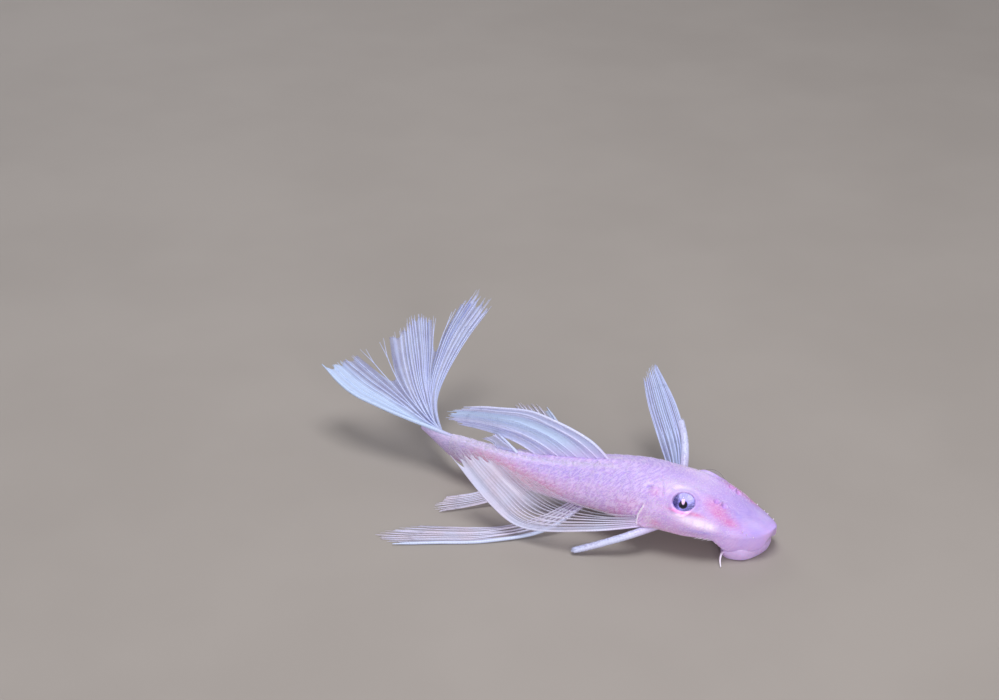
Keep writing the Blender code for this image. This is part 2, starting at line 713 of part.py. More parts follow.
def main():
    for old in list(bpy.data.objects):
        bpy.data.objects.remove(old)
    flesh = material("pink_skin", (0.74, 0.50, 0.68), 0.38)
    lips = material("lip_flesh", (0.62, 0.42, 0.55), 0.45)
    veil = material("clear_fin", (0.66, 0.62, 0.80), 0.30)
    wet_eye = material("eye", (0.28, 0.26, 0.42), 0.08)
    make_head(flesh)
    loft("torso", plated_rings(HEAD_END + GAP, TORSO_END, TORSO_PLATES), flesh)
    loft("tail_stem", plated_rings(TORSO_END + GAP, STANDARD_LENGTH, TAIL_PLATES), flesh)
    make_mouth(lips)
    for word, side in (("right", -1), ("left", 1)):
        ball("eye_" + word, eye_centre(side), (EYE_RADIUS,) * 3, rings=10, sides=16, finish=wet_eye)
    for name, shape in FINS.items():
        fin_node(name, finish=veil, **shape)
    centre_on_floor()


main()
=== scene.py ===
"""Long-finned bristlenose pleco: the looks of a life-size still model, built round its fixed frame.

Sizes are in millimetres and become metres where a mesh is made. A place on the fish is
(s, left, z): s runs back from the snout tip along the body, left is towards the fish's own left
side, and z is the height over the floor. An angle round the body is 0 on the back, plus on the
left and minus on the right.
"""

import math

import bmesh
import bpy
import numpy as np
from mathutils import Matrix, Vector


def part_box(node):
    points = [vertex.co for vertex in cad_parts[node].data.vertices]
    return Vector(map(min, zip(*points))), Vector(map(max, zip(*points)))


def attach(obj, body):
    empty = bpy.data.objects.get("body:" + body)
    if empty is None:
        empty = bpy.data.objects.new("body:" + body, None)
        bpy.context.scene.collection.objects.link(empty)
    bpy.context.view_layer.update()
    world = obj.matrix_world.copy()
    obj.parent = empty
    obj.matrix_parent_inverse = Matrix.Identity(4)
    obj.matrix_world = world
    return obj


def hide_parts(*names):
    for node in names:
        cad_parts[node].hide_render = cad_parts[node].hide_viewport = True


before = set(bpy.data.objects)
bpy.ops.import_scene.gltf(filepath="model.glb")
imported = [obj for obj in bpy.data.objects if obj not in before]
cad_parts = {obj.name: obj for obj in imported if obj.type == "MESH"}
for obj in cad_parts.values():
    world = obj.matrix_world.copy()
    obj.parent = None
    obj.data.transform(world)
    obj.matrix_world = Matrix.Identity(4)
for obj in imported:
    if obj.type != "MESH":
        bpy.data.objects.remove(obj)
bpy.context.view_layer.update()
MM = 0.001
HEAD_LOW, HEAD_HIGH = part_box("head")
SNOUT = np.array((HEAD_HIGH.x, 0.5 * (HEAD_LOW.y + HEAD_HIGH.y), 0.0)) / MM

# Driving sizes of the body, as in the solids
STANDARD_LENGTH = 66.5
TAIL_TURN = math.radians(6.5)
TAIL_TURN_START = 30.0
HEAD_TURN = math.radians(9.0)
HEAD_ROLL = math.radians(5.0)
HEAD_TURN_ENDS = (17.0, 31.0)
# Sections of the body: s, half width, and heights at the belly, at the widest line and at the back
STATIONS = (
    (0.0, 0.3, 4.5, 4.9, 5.2),
    (1.0, 2.8, 3.5, 4.5, 5.4),
    (3.0, 4.75, 2.9, 4.3, 6.2),
    (6.0, 6.35, 2.7, 4.4, 7.9),
    (10.0, 7.9, 2.75, 4.8, 10.3),
    (16.0, 8.8, 2.9, 5.1, 12.15),
    (20.0, 8.85, 3.2, 5.4, 12.7),
    (25.0, 8.4, 3.8, 5.9, 13.0),
    (32.0, 7.3, 3.9, 6.2, 12.3),
    (40.0, 6.1, 3.5, 5.9, 10.8),
    (48.0, 4.85, 3.2, 5.7, 9.6),
    (54.0, 3.6, 3.15, 5.75, 9.1),
    (60.0, 2.55, 3.35, 6.1, 9.0),
    (64.0, 2.0, 3.7, 6.45, 9.2),
    (66.5, 1.3, 4.4, 6.8, 9.2),
)
BACK_ROUNDNESS = (2.25, 0.35)
BELLY_ROUNDNESS = (2.7, 0.7)

# Where the skin goes on past the solids: a wedge along the tail fin's upper lobe, which rises by
# these amounts at its top and bottom, and the snout's droop to the lips
TAIL_WEDGE = 6.5
TAIL_WEDGE_RISE = (0.15, 4.2)
TAIL_WEDGE_SLENDER = 0.90
LIP_DROOP = 1.75
LIP_BULGE = 0.45

# Skin mesh: spacing along the body and round it, closer at the eyes and nostrils
RING_SPACING = ((0.0, 0.03), (1.0, 0.08), (8.0, 0.11), (13.0, 0.085), (20.0, 0.09), (24.5, 0.15), (66.5, 0.17))
COLUMN_SPACING = ((0.0, 1.3), (14.0, 1.1), (19.0, 0.58), (62.0, 0.58), (70.0, 1.2), (180.0, 1.7))

# Bony plates under the skin: five rows a side, with how many plates of a row lie before each s
ROW_ANGLE = math.radians(23.0)
ROWS = 5
PLATE_STARTS = ((22.0, 0.0), (47.85, 12.0), (66.5, 21.0))
PLATE_LOW = -0.02
PLATE_HIGH = 0.035
PLATE_POINT = 0.35
SEAM_DEPTH = 0.010

# Eyes, nostrils and mouth
EYE_S = 14.9
EYE_ANGLE = math.radians(43.5)
EYE_RADIUS = 3.0
EYE_SUNK = 2.42
ORBIT_RISE = 0.55
ORBIT_REACH = 3.2
EYE_OPENING = 2.12
OPENING_FLATNESS = 0.36
EYE_PIT = 1.6
EYE_FOLD_WIDTH = 0.42
EYE_GROOVE = 0.08
GAZE = (0.16, 0.74, 0.65)
IRIS_TILT = math.radians(62.0)
PUPIL_RADIUS = 0.80
PUPIL_DEPTH = 0.55
CORNEA_SHELLS = (0.10, 0.05)
NOSTRIL_S = 9.4
NOSTRIL_ANGLE = math.radians(22.0)
NOSTRIL_SHIFT = 0.75
NOSTRIL_DEPTH = 0.75
NOSTRIL_WIDTH = 0.42
FLAP_HEIGHT = 0.5
GILL_S = 22.3
GILL_PIT = (22.6, math.radians(35.0))
DISC_CENTRE_S = 5.7
DISC_LENGTH = 9.0
DISC_WIDTH = 12.0
SLOT_S = 4.8
BARBEL_PATH = ((7.0, 4.4, 0.9), (7.2, 6.2, 1.5), (6.9, 7.7, 0.95), (6.2, 9.0, 0.16))
BARBEL_SIZE = 0.34

# Soft swells and hollows of the flesh, the same on both sides: height, s and spread along it,
# degrees round the body and spread round it
SWELLS = {
    "cheek": (0.22, 12.0, 4.0, 82.0, 1.6),
    "hollow under the cheek": (-0.22, 13.0, 3.4, 94.0, 0.7),
    "gill cover": (0.18, 19.2, 2.2, 78.0, 2.2),
    "root of a pectoral fin": (0.55, 22.0, 1.7, 101.0, 1.6),
    "root of a pelvic fin": (0.35, 36.0, 1.6, 134.0, 1.4),
    "root of the anal fin": (0.3, 47.6, 1.8, 180.0, 1.1),
}

# Seam across the nape, behind the skull
NAPE_SEAM_S = 20.6
NAPE_SEAM_DEPTH = 0.07

# Low ridges along the middle of the back: height, degrees wide, and where each begins, is full,
# fades and ends
RIDGES = {
    "nape": (0.10, 6.0, (15.0, 22.0, 29.0, 31.5)),
    "root of the dorsal fin": (0.35, 5.5, (30.2, 32.0, 45.0, 47.5)),
}

# Thorns on the skin: their size, how deep their roots sit, how steeply they stand, their rows on
# each plate, and how many lie elsewhere
THORN_WIDTH = 0.07
THORN_SUNK = 0.04
THORN_STEEPNESS = 0.5
THORN_LINES = 7
THORN_COLUMNS = 6
RIDGE_THORNS = 300
HEAD_THORNS = 1500
CHEEK_HOOKS = 7
SNOUT_BUDS = 4
SPINE_THORNS = 420
TEETH = 15


def rgb(red, green, blue):
    """A colour given in display values from 0 to 255, as Blender's linear colour."""
    shares = np.array((red, green, blue)) / 255.0
    linear = np.where(shares <= 0.04045, shares / 12.92, ((shares + 0.055) / 1.055) ** 2.4)
    return tuple(float(c) for c in linear)


def ease(low, high, x):
    """A smooth step from 0 at low to 1 at high."""
    f = np.clip((x - low) / (high - low), 0.0, 1.0)
    return f * f * (3.0 - 2.0 * f)


def hill(x, width):
    """A smooth bump of height 1 at x = 0."""
    return np.exp(-(x / width) ** 2)


def within(x, begin, full, fade, end):
    """1 between full and fade, and smoothly down to 0 at begin and at end."""
    return ease(begin, full, x) * (1.0 - ease(fade, end, x))


def unit(vectors):
    """The vectors at length 1."""
    return vectors / np.maximum(np.linalg.norm(vectors, axis=-1, keepdims=True), 1e-9)


def place(s, left, z):
    """A place on the fish in the model's directions, still in millimetres from the snout."""
    return np.stack(np.broadcast_arrays(-np.asarray(s, float), left, z), axis=-1).astype(float)


def catmull_rom(points, t):
    """Smooth curves through points along their first axis, at each t from 0 to 1."""
    points = np.asarray(points, dtype=float)
    spans = len(points) - 1
    index = np.clip((t * spans).astype(int), 0, spans - 1)
    f = (t * spans - index).reshape((-1,) + (1,) * (points.ndim - 1))
    ends = (2.0 * points[:1] - points[1:2], points, 2.0 * points[-1:] - points[-2:-1])
    padded = np.concatenate(ends)
    p0, p1, p2, p3 = (padded[index + k] for k in range(4))
    return 0.5 * (2.0 * p1 + (p2 - p0) * f + (2.0 * p0 - 5.0 * p1 + 4.0 * p2 - p3) * f ** 2
                  + (3.0 * p1 - p0 - 3.0 * p2 + p3) * f ** 3)


def hermite_table(knots, values, t):
    """Smooth values between uneven knots, with no overshoot past their neighbours."""
    slopes = np.diff(values, axis=0) / np.diff(knots)[:, None]
    tangents = np.empty_like(values)
    tangents[0] = slopes[0]
    tangents[-1] = slopes[-1]
    total = slopes[:-1] + slopes[1:]
    product = slopes[:-1] * slopes[1:]
    tangents[1:-1] = np.where(product > 0.0, 2.0 * product / np.where(total == 0.0, 1.0, total), 0.0)
    index = np.clip(np.searchsorted(knots, t) - 1, 0, len(knots) - 2)
    width = (knots[index + 1] - knots[index])[..., None]
    f = (t - knots[index])[..., None] / width
    return ((2 * f ** 3 - 3 * f ** 2 + 1) * values[index] + (f ** 3 - 2 * f ** 2 + f) * tangents[index] * width
            + (3 * f ** 2 - 2 * f ** 3) * values[index + 1] + (f ** 3 - f ** 2) * tangents[index + 1] * width)


STATION_KNOTS = np.sqrt(np.array([row[0] for row in STATIONS]))
STATION_VALUES = np.array([row[1:] for row in STATIONS])


def axis_at(s):
    """Sideways place of the body's axis, and how far its sections turn and roll.

    The axis bends to the left at the tail. The head looks a little to the right, and rolls to the left.
    """
    span = STANDARD_LENGTH - TAIL_TURN_START
    f = np.maximum(0.0, (s - TAIL_TURN_START) / span)
    inside = np.minimum(f, 1.0)
    shift = TAIL_TURN * span * (inside ** 3 - inside ** 4 / 2.0 + np.maximum(0.0, f - 1.0))
    head = 1.0 - ease(*HEAD_TURN_ENDS, s)
    return shift, TAIL_TURN * (3 * inside ** 2 - 2 * inside ** 3) + HEAD_TURN * head, HEAD_ROLL * head


def section_at(s):
    """Half width of the body, and its heights at the belly, at the widest line and at the back."""
    row = hermite_table(STATION_KNOTS, STATION_VALUES, np.sqrt(np.clip(s, 0.0, STANDARD_LENGTH)))
    return row[..., 0], row[..., 1], row[..., 2], row[..., 3]


def on_section(s, lateral, z, level=False):
    """Places on the sections at s, lateral millimetres to the left of the axis; level leaves the roll out."""
    shift, turn, roll = axis_at(s)
    drop = 0.0 if level else lateral * np.sin(roll)
    return place(s - lateral * np.sin(turn), shift + lateral * np.cos(turn), z - drop)


def body_point(s, angle, grow=0.0):
    """Points of the plain body."""
    s, angle, grow = np.broadcast_arrays(*(np.asarray(x, dtype=float) for x in (s, angle, grow)))
    half, low, wide, top = section_at(s)
    rise = np.cos(angle)
    share = np.clip(s / STANDARD_LENGTH, 0.0, 1.0)
    roundness = np.where(rise >= 0.0, BACK_ROUNDNESS[0] - BACK_ROUNDNESS[1] * share,
                         BELLY_ROUNDNESS[0] - BELLY_ROUNDNESS[1] * share)
    reach = np.where(rise >= 0.0, top - wide, wide - low)
    lateral = np.sign(np.sin(angle)) * (half + grow) * np.abs(np.sin(angle)) ** (2.0 / roundness)
    z = wide + np.sign(rise) * (reach + grow) * np.abs(rise) ** (2.0 / roundness)
    return on_section(s, lateral, z)


def body_normal(s, angle):
    """The plain body's outward directions."""
    step = 0.02
    along = body_point(s + step, angle) - body_point(s - step, angle)
    around = body_point(s, angle + step) - body_point(s, angle - step)
    return unit(np.cross(around, along))


def orbit_growth(s, angle):
    """How far the head swells round the eyes."""
    points = body_point(s, angle)
    near = np.minimum(*(np.linalg.norm(points - body_point(EYE_S, side * EYE_ANGLE), axis=-1)
                        for side in (1, -1)))
    return ORBIT_RISE * hill(near, ORBIT_REACH)


def eye_frame(side):
    """Centre of an eye and the direction that it stands out in."""
    normal = body_normal(EYE_S, side * EYE_ANGLE)
    return body_point(EYE_S, side * EYE_ANGLE, ORBIT_RISE) - EYE_SUNK * normal, normal


def arc(s, angle, middle):
    """Distance round the body from the angle called middle, in millimetres."""
    return (np.abs(angle) - middle) * np.maximum(section_at(s)[0], 1.0) * 0.92


# Relief of the skin, in millimetres outwards

def plate_relief(s, angle):
    """Height of the bony plates, and a mask of their raised rear edges."""
    row = np.abs(angle) / ROW_ANGLE
    across = 2.0 * (row - np.floor(row)) - 1.0
    chevron = PLATE_POINT * (1.0 - 1.4 * np.abs(across) ** 1.4)
    starts, counts = np.array(PLATE_STARTS).T
    phase = np.interp(s - chevron, starts, counts)
    f = phase - np.floor(phase)
    height = PLATE_LOW + (PLATE_HIGH - PLATE_LOW) * f ** 0.8 * (1.0 - ease(0.90, 1.0, f))
    height = height - SEAM_DEPTH * hill(1.0 - np.abs(across), 0.13)
    plated = 1.0 - ease(ROWS * ROW_ANGLE * 0.94, ROWS * ROW_ANGLE * 1.02, np.abs(angle))
    plated = plated * within(s, 21.6, 23.0, 64.5, 66.0)
    return height * plated, hill(f - 0.88, 0.09) * plated


def eye_relief(points):
    """The fold of skin round each eye, the pit that the eye sits in, and a mask of the opening's edge, where a
    dark rim is painted as shade.
    """
    relief = np.zeros(np.shape(points)[:-1])
    margin = np.zeros_like(relief)
    for side in (1, -1):
        centre, normal = eye_frame(side)
        offset = points - centre
        out = offset @ normal
        flat = offset - out[..., None] * normal
        across = np.linalg.norm(flat, axis=-1)
        near = (out > -2.0) & (across < 6.0)
        rise = np.clip(flat @ eye_axes(side)[1] / np.maximum(across, 0.8), -1.0, 1.0)
        across = across + OPENING_FLATNESS * rise ** 2
        fold = 0.02 + 0.10 * rise ** 2 + 0.22 * np.maximum(rise, 0.0)
        fold = fold * hill(across - EYE_OPENING - 0.25, EYE_FOLD_WIDTH)
        fold = fold - EYE_GROOVE * hill(across - EYE_OPENING - 1.1, 0.45)
        pit = -EYE_PIT * (1.0 - ease(EYE_OPENING - 0.36, EYE_OPENING + 0.06, across))
        relief = relief + np.where(near, fold + pit, 0.0)
        # Mask of the opening's edge, where the dark rim is painted as shade
        margin = margin + np.where(near, hill(across - EYE_OPENING + 0.04, 0.16), 0.0)
    return relief, margin


def nostril_relief(s, angle, points):
    """Two openings a side, with a flap of skin standing between them."""
    relief = np.zeros(np.shape(points)[:-1])
    for side in (1, -1):
        for shift in (-NOSTRIL_SHIFT, NOSTRIL_SHIFT):
            gap = np.linalg.norm(points - body_point(NOSTRIL_S + shift, side * NOSTRIL_ANGLE), axis=-1)
            relief = relief - NOSTRIL_DEPTH * hill(gap, NOSTRIL_WIDTH) + 0.12 * hill(gap - 0.68, 0.18)
    flap = hill(s - NOSTRIL_S, 0.15) * hill(arc(s, angle, NOSTRIL_ANGLE), 0.6)
    return relief + FLAP_HEIGHT * flap


def gill_relief(s, angle):
    """The gill cover's rear edge, the slit behind it and the small pit over it; and a mask of the painted
    highlight along its wet edge.
    """
    degrees = np.degrees(np.abs(angle))
    edge = GILL_S + 1.1 * ease(62.0, 86.0, degrees) - 0.3 * ease(90.0, 115.0, degrees)
    shown = within(degrees, 60.0, 70.0, 112.0, 120.0)
    lip = hill(s - edge, 0.17) * shown
    slit = hill(s - edge - 0.45, 0.2) * shown
    pit = hill(s - GILL_PIT[0], 0.5) * hill(arc(s, angle, GILL_PIT[1]), 0.5)
    return 0.2 * lip - 0.32 * slit - 0.3 * pit, lip


def soft_relief(s, angle):
    """Soft forms of bone and flesh: brow ridges, the seam behind the nape, the swells and the ridges."""
    degrees = np.degrees(np.abs(angle))
    brow = 0.16 * hill(arc(s, angle, math.radians(20.0)) - 0.25 * np.maximum(0.0, 12.0 - s), 0.9)
    seam_s = NAPE_SEAM_S + 1.2 * np.cos(angle * 4.0) * (degrees < 45.0)
    seam = hill(s - seam_s, 0.22) * (degrees < 48.0)
    total = brow * within(s, 6.0, 10.0, 19.0, 22.0) - NAPE_SEAM_DEPTH * seam
    for height, middle, long, turn, wide in SWELLS.values():
        total = total + height * hill(s - middle, long) * hill(arc(s, angle, math.radians(turn)), wide)
    for height, wide, stretch in RIDGES.values():
        total = total + height * hill(np.degrees(angle), wide) * within(s, *stretch)
    return total


def lip_droop(s, angle):
    """How far the snout's lower side droops and bulges to join the lips round the mouth."""
    degrees = np.degrees(np.abs(angle))
    lower = ease(84.0, 118.0, degrees)
    ring = np.maximum(1.0 - ease(138.0, 156.0, degrees), 1.0 - ease(1.8, 3.4, s))
    here = within(s, 0.0, 1.5, 6.2, 9.4)
    return LIP_DROOP * lower * ring * here, LIP_BULGE * hill(degrees - 112.0, 20.0) * here


def waver(points, size, seed):
    """A smooth, seeded unevenness of the given size between -1 and 1."""
    draw = np.random.default_rng(seed)
    total = np.zeros(np.shape(points)[:-1])
    for _ in range(7):
        direction = unit(draw.normal(size=3))
        phase = draw.uniform(0.0, 2.0 * math.pi)
        total = total + np.sin(points @ direction * 2.0 * math.pi / (size * draw.uniform(0.7, 1.5)) + phase)
    return total / 4.0


def skin_surface(s, angle):
    """Points of the finished skin with the masks that its colours use."""
    grown = orbit_growth(s, angle)
    points = body_point(s, angle, grown)
    normals = body_normal(s, angle)
    plates, plate_edge = plate_relief(s, angle)
    eyes, eye_margin = eye_relief(points)
    gills, gill_edge = gill_relief(s, angle)
    relief = plates + eyes + nostril_relief(s, angle, points) + gills + soft_relief(s, angle)
    droop, bulge = lip_droop(s, angle)
    relief = relief + bulge + 0.035 * waver(points, 2.6, 3) + 0.012 * waver(points, 0.9, 4)
    points[..., 2] -= droop
    masks = {"plate_edge": plate_edge, "eye_margin": eye_margin, "gill_edge": gill_edge}
    return points + relief[..., None] * normals, masks


# Soft patches of colour, the same on both sides: s, angle, spread along and round, strength. The cream and pale
# patches are painted highlights on the wet skin.
PATCHES = {
    # Cream: painted highlights on the wet cheek under the eye, by the gill cover and on top of the head
    "cream": ((15.4, 67, 1.2, 0.45, 0.7), (13.6, 69, 1.4, 0.8, 1.0), (11.4, 70, 1.5, 1.15, 1.0),
              (9.5, 71, 1.2, 1.0, 0.95), (20.0, 62, 1.2, 0.6, 0.35), (20.6, 84, 0.9, 0.9, 0.5),
              (18.0, 22, 3.2, 1.6, 0.45), (14.5, 10, 2.4, 1.6, 0.3)),
    "blush": ((15.4, 60, 2.0, 0.34, 0.9), (12.2, 57, 1.3, 0.45, 0.8), (10.6, 30, 1.6, 1.5, 0.5),
              (8.8, 38, 1.7, 1.6, 0.7), (6.6, 48, 1.5, 1.2, 0.75), (19.4, 86, 1.2, 0.6, 0.5),
              (26.0, 72, 2.4, 1.6, 0.4), (28.0, 92, 2.6, 1.4, 0.6), (21.0, 40, 1.6, 1.2, 0.4)),
    "peach": ((57.9, 70, 3.6, 2.2, 0.9), (53.1, 74, 4.2, 2.4, 1.0), (48.5, 80, 4.0, 2.2, 1.0),
              (43.0, 82, 4.4, 2.0, 0.7), (30.0, 108, 6.0, 1.8, 0.6)),
    "violet": ((5.4, 14, 2.6, 3.0, 0.5), (11.0, 84, 2.8, 0.45, 0.8), (22.6, 35, 0.7, 0.6, 1.0),
               (12.0, 36, 1.0, 0.8, 0.4), (2.0, 60, 1.2, 2.0, 0.35), (33.0, 36, 5.0, 1.2, 0.35),
               (41.0, 32, 7.0, 1.0, 0.55), (27.0, 22, 3.0, 1.4, 0.35)),
    # Pale: painted highlights along the ridge of the back, on the snout's top and the head, and a lit crescent
    # over the gill pit
    "pale": ((50.0, 16, 9.0, 0.6, 0.9), (58.0, 8, 7.0, 0.8, 1.0), (64.0, 8, 4.0, 0.8, 1.0),
             (71.0, 10, 5.0, 0.7, 1.0), (38.0, 12, 8.0, 0.7, 0.75), (3.4, 24, 2.0, 1.4, 0.3),
             (23.0, 31, 0.5, 0.3, 1.0), (16.0, 24, 1.6, 0.8, 0.5)),
}


def patch_masks(s, angle):
    """How strongly each soft patch shows, how far a point is down the side, and where the skin is bare."""
    s, angle = np.broadcast_arrays(s, angle)
    masks = {}
    for name, patches in PATCHES.items():
        rest = np.ones(s.shape)
        for middle, degrees, long, wide, strength in patches:
            shown = hill(s - middle, long) * hill(arc(s, angle, math.radians(degrees)), wide)
            rest = rest * (1.0 - strength * shown)
        masks[name] = 1.0 - rest
    degrees = np.degrees(np.abs(angle))
    masks["down_side"] = ease(10.0, 125.0, degrees) * (0.4 + 0.6 * ease(6.0, 12.0, s))
    masks["fin_root"] = ease(60.5, 67.0, s + 2.0 - 0.03 * degrees)
    masks["bare"] = np.maximum(1.0 - ease(2.0, 7.0, s), ease(112.0, 122.0, degrees))
    return masks


# Meshes

def grid_faces(rows, columns, closed=False):
    """Quads between neighbouring rows of points; closed joins the last column to the first."""
    index = np.arange(rows * columns).reshape(rows, columns)
    if closed:
        index = np.concatenate((index, index[:, :1]), axis=1)
    quads = np.stack((index[:-1, :-1], index[:-1, 1:], index[1:, 1:], index[1:, :-1]), axis=-1)
    return [tuple(quad) for quad in quads.reshape(-1, 4).tolist()]


def tapered_faces(rows, sides):
    """Faces of a row of rings that ends at two more points, one for each end."""
    first = rows * sides
    tail = first - sides
    faces = grid_faces(rows, sides, closed=True)
    faces += [(first, (k + 1) % sides, k) for k in range(sides)]
    return faces + [(first + 1, tail + k, tail + (k + 1) % sides) for k in range(sides)]


def capped_faces(rows, sides):
    """Faces of a row of rings with one flat face over each end."""
    tail = (rows - 1) * sides
    ends = [tuple(range(sides)), tuple(tail + k for k in reversed(range(sides)))]
    return grid_faces(rows, sides, closed=True) + ends


def turns_round(sides, shift=0.0):
    """Even turns round a ring."""
    return 2.0 * math.pi * (np.arange(sides) + shift) / sides


def in_scene(name, data):
    """A new object that holds the data."""
    made = bpy.data.objects.new(name, data)
    bpy.context.scene.collection.objects.link(made)
    return made


def make_piece(name, points, faces, finish, values=None):
    """One mesh piece that rides on the model; values are named numbers at its points."""
    mesh = bpy.data.meshes.new(name)
    mesh.from_pydata(((np.asarray(points).reshape(-1, 3) + SNOUT) * MM).tolist(), [], faces)
    shaped = bmesh.new()
    shaped.from_mesh(mesh)
    bmesh.ops.recalc_face_normals(shaped, faces=shaped.faces)
    shaped.to_mesh(mesh)
    shaped.free()
    for key, amounts in (values or {}).items():
        kept = mesh.attributes.new(key, "FLOAT", "POINT")
        kept.data.foreach_set("value", np.asarray(amounts, dtype=np.float32).ravel())
    mesh.shade_smooth()
    mesh.materials.append(finish)
    piece = in_scene(name, mesh)
    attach(piece, "root")
    return piece


def gather(parts):
    """Several shapes, each (points, faces, values), as one."""
    points = []
    faces = []
    values = {key: [] for key in parts[0][2]}
    start = 0
    for part_points, part_faces, part_values in parts:
        part_points = np.asarray(part_points).reshape(-1, 3)
        points.append(part_points)
        faces += [tuple(corner + start for corner in face) for face in part_faces]
        for key in values:
            values[key].append(np.broadcast_to(np.ravel(part_values[key]), (len(part_points),)))
        start += len(part_points)
    return np.concatenate(points), faces, {key: np.concatenate(rows) for key, rows in values.items()}


def make_joined(name, parts, finish):
    """One piece of several shapes."""
    points, faces, values = gather(parts)
    return make_piece(name, points, faces, finish, values)


def tube(path, ups, wide, deep, sides=6):
    """A closed tube along a path, with half sizes wide across and deep along ups."""
    path = np.asarray(path, dtype=float)
    ahead = unit(np.gradient(path, axis=0))
    across = unit(np.cross(ahead, np.broadcast_to(ups, path.shape)))
    upward = np.cross(across, ahead)
    turns = turns_round(sides, 0.5)
    wide = np.broadcast_to(wide, (len(path),))[:, None, None]
    deep = np.broadcast_to(deep, (len(path),))[:, None, None]
    rings = path[:, None] + across[:, None] * np.cos(turns)[:, None] * wide
    rings = rings + upward[:, None] * np.sin(turns)[:, None] * deep
    return np.concatenate((rings.reshape(-1, 3), path[:1], path[-1:])), tapered_faces(len(path), sides)


def along_tube(count, sides, amounts):
    """The amounts at a tube's rings, repeated for its points and its two ends."""
    amounts = np.broadcast_to(amounts, (count,))
    return np.concatenate((np.repeat(amounts, sides), amounts[:1], amounts[-1:]))


def steps_between(spacing):
    """Places from the first to the last stop, at a distance that changes from stop to stop."""
    stops, gaps = np.array(spacing).T
    places = [stops[0]]
    while places[-1] < stops[-1] - 1e-6:
        places.append(min(stops[-1], places[-1] + np.interp(places[-1], stops, gaps)))
    return np.array(places)


def tail_wedge(t, angle):
    """The flesh past the last section, running out in a wedge along the tail fin's upper lobe."""
    s = STANDARD_LENGTH + TAIL_WEDGE * t
    points = body_point(s, angle)
    _, low, _, top = section_at(s)
    shift = axis_at(s)[0]
    up = (points[..., 2] - low) / (top - low)
    points[..., 1] = shift + (points[..., 1] - shift) * (1.0 - TAIL_WEDGE_SLENDER * t)
    rise_top, rise_low = TAIL_WEDGE_RISE
    points[..., 2] = low + rise_low * t + up * (top - low + (rise_top - rise_low) * t)
    return points


def make_skin(finish):
    """The whole skin in one closed piece, from the snout to the root of the tail fin."""
    half = np.radians(steps_between(COLUMN_SPACING))
    angles = np.concatenate((half, -half[-2:0:-1]))
    rings = steps_between(RING_SPACING)
    points, masks = skin_surface(rings[:, None], angles[None, :])
    wedge_steps = np.linspace(0.0, 1.0, 40)[1:]
    points = np.concatenate((points, tail_wedge(wedge_steps[:, None], angles[None, :])))
    for key, amounts in masks.items():
        amounts = np.broadcast_to(amounts, (len(rings), len(angles)))
        masks[key] = np.concatenate((amounts, np.repeat(amounts[-1:], len(wedge_steps), axis=0)))
    rings = np.concatenate((rings, STANDARD_LENGTH + TAIL_WEDGE * wedge_steps))
    s, angle = np.broadcast_arrays(rings[:, None], angles[None, :])
    masks.update(patch_masks(s, angle), body_s=s, body_turn=np.degrees(np.abs(angle)))
    count = len(angles)
    middle = count // 2
    faces = grid_faces(len(rings), count, closed=True)
    for start in (0, (len(rings) - 1) * count):
        for k in range(1, middle - 1):
            faces.append((start + k, start + k + 1, start + count - k - 1, start + count - k))
        faces.append((start, start + 1, start + count - 1))
        faces.append((start + middle - 1, start + middle, start + middle + 1))
    skin = make_piece("skin", points, faces, finish, masks)
    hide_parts("head", "torso", "tail_stem")


def thorn(root, lean, out, length, width, sides=4):
    """A closed spike that leans back from its root; root sits inside the skin."""
    across = unit(np.cross(lean, out))
    upward = unit(np.cross(across, lean))
    turns = turns_round(sides)
    ring = root + width * (np.cos(turns)[:, None] * across + 0.8 * np.sin(turns)[:, None] * upward)
    points = np.concatenate((ring, [root + length * lean]))
    faces = [(k, (k + 1) % sides, sides) for k in range(sides)] + [tuple(reversed(range(sides)))]
    return points, faces


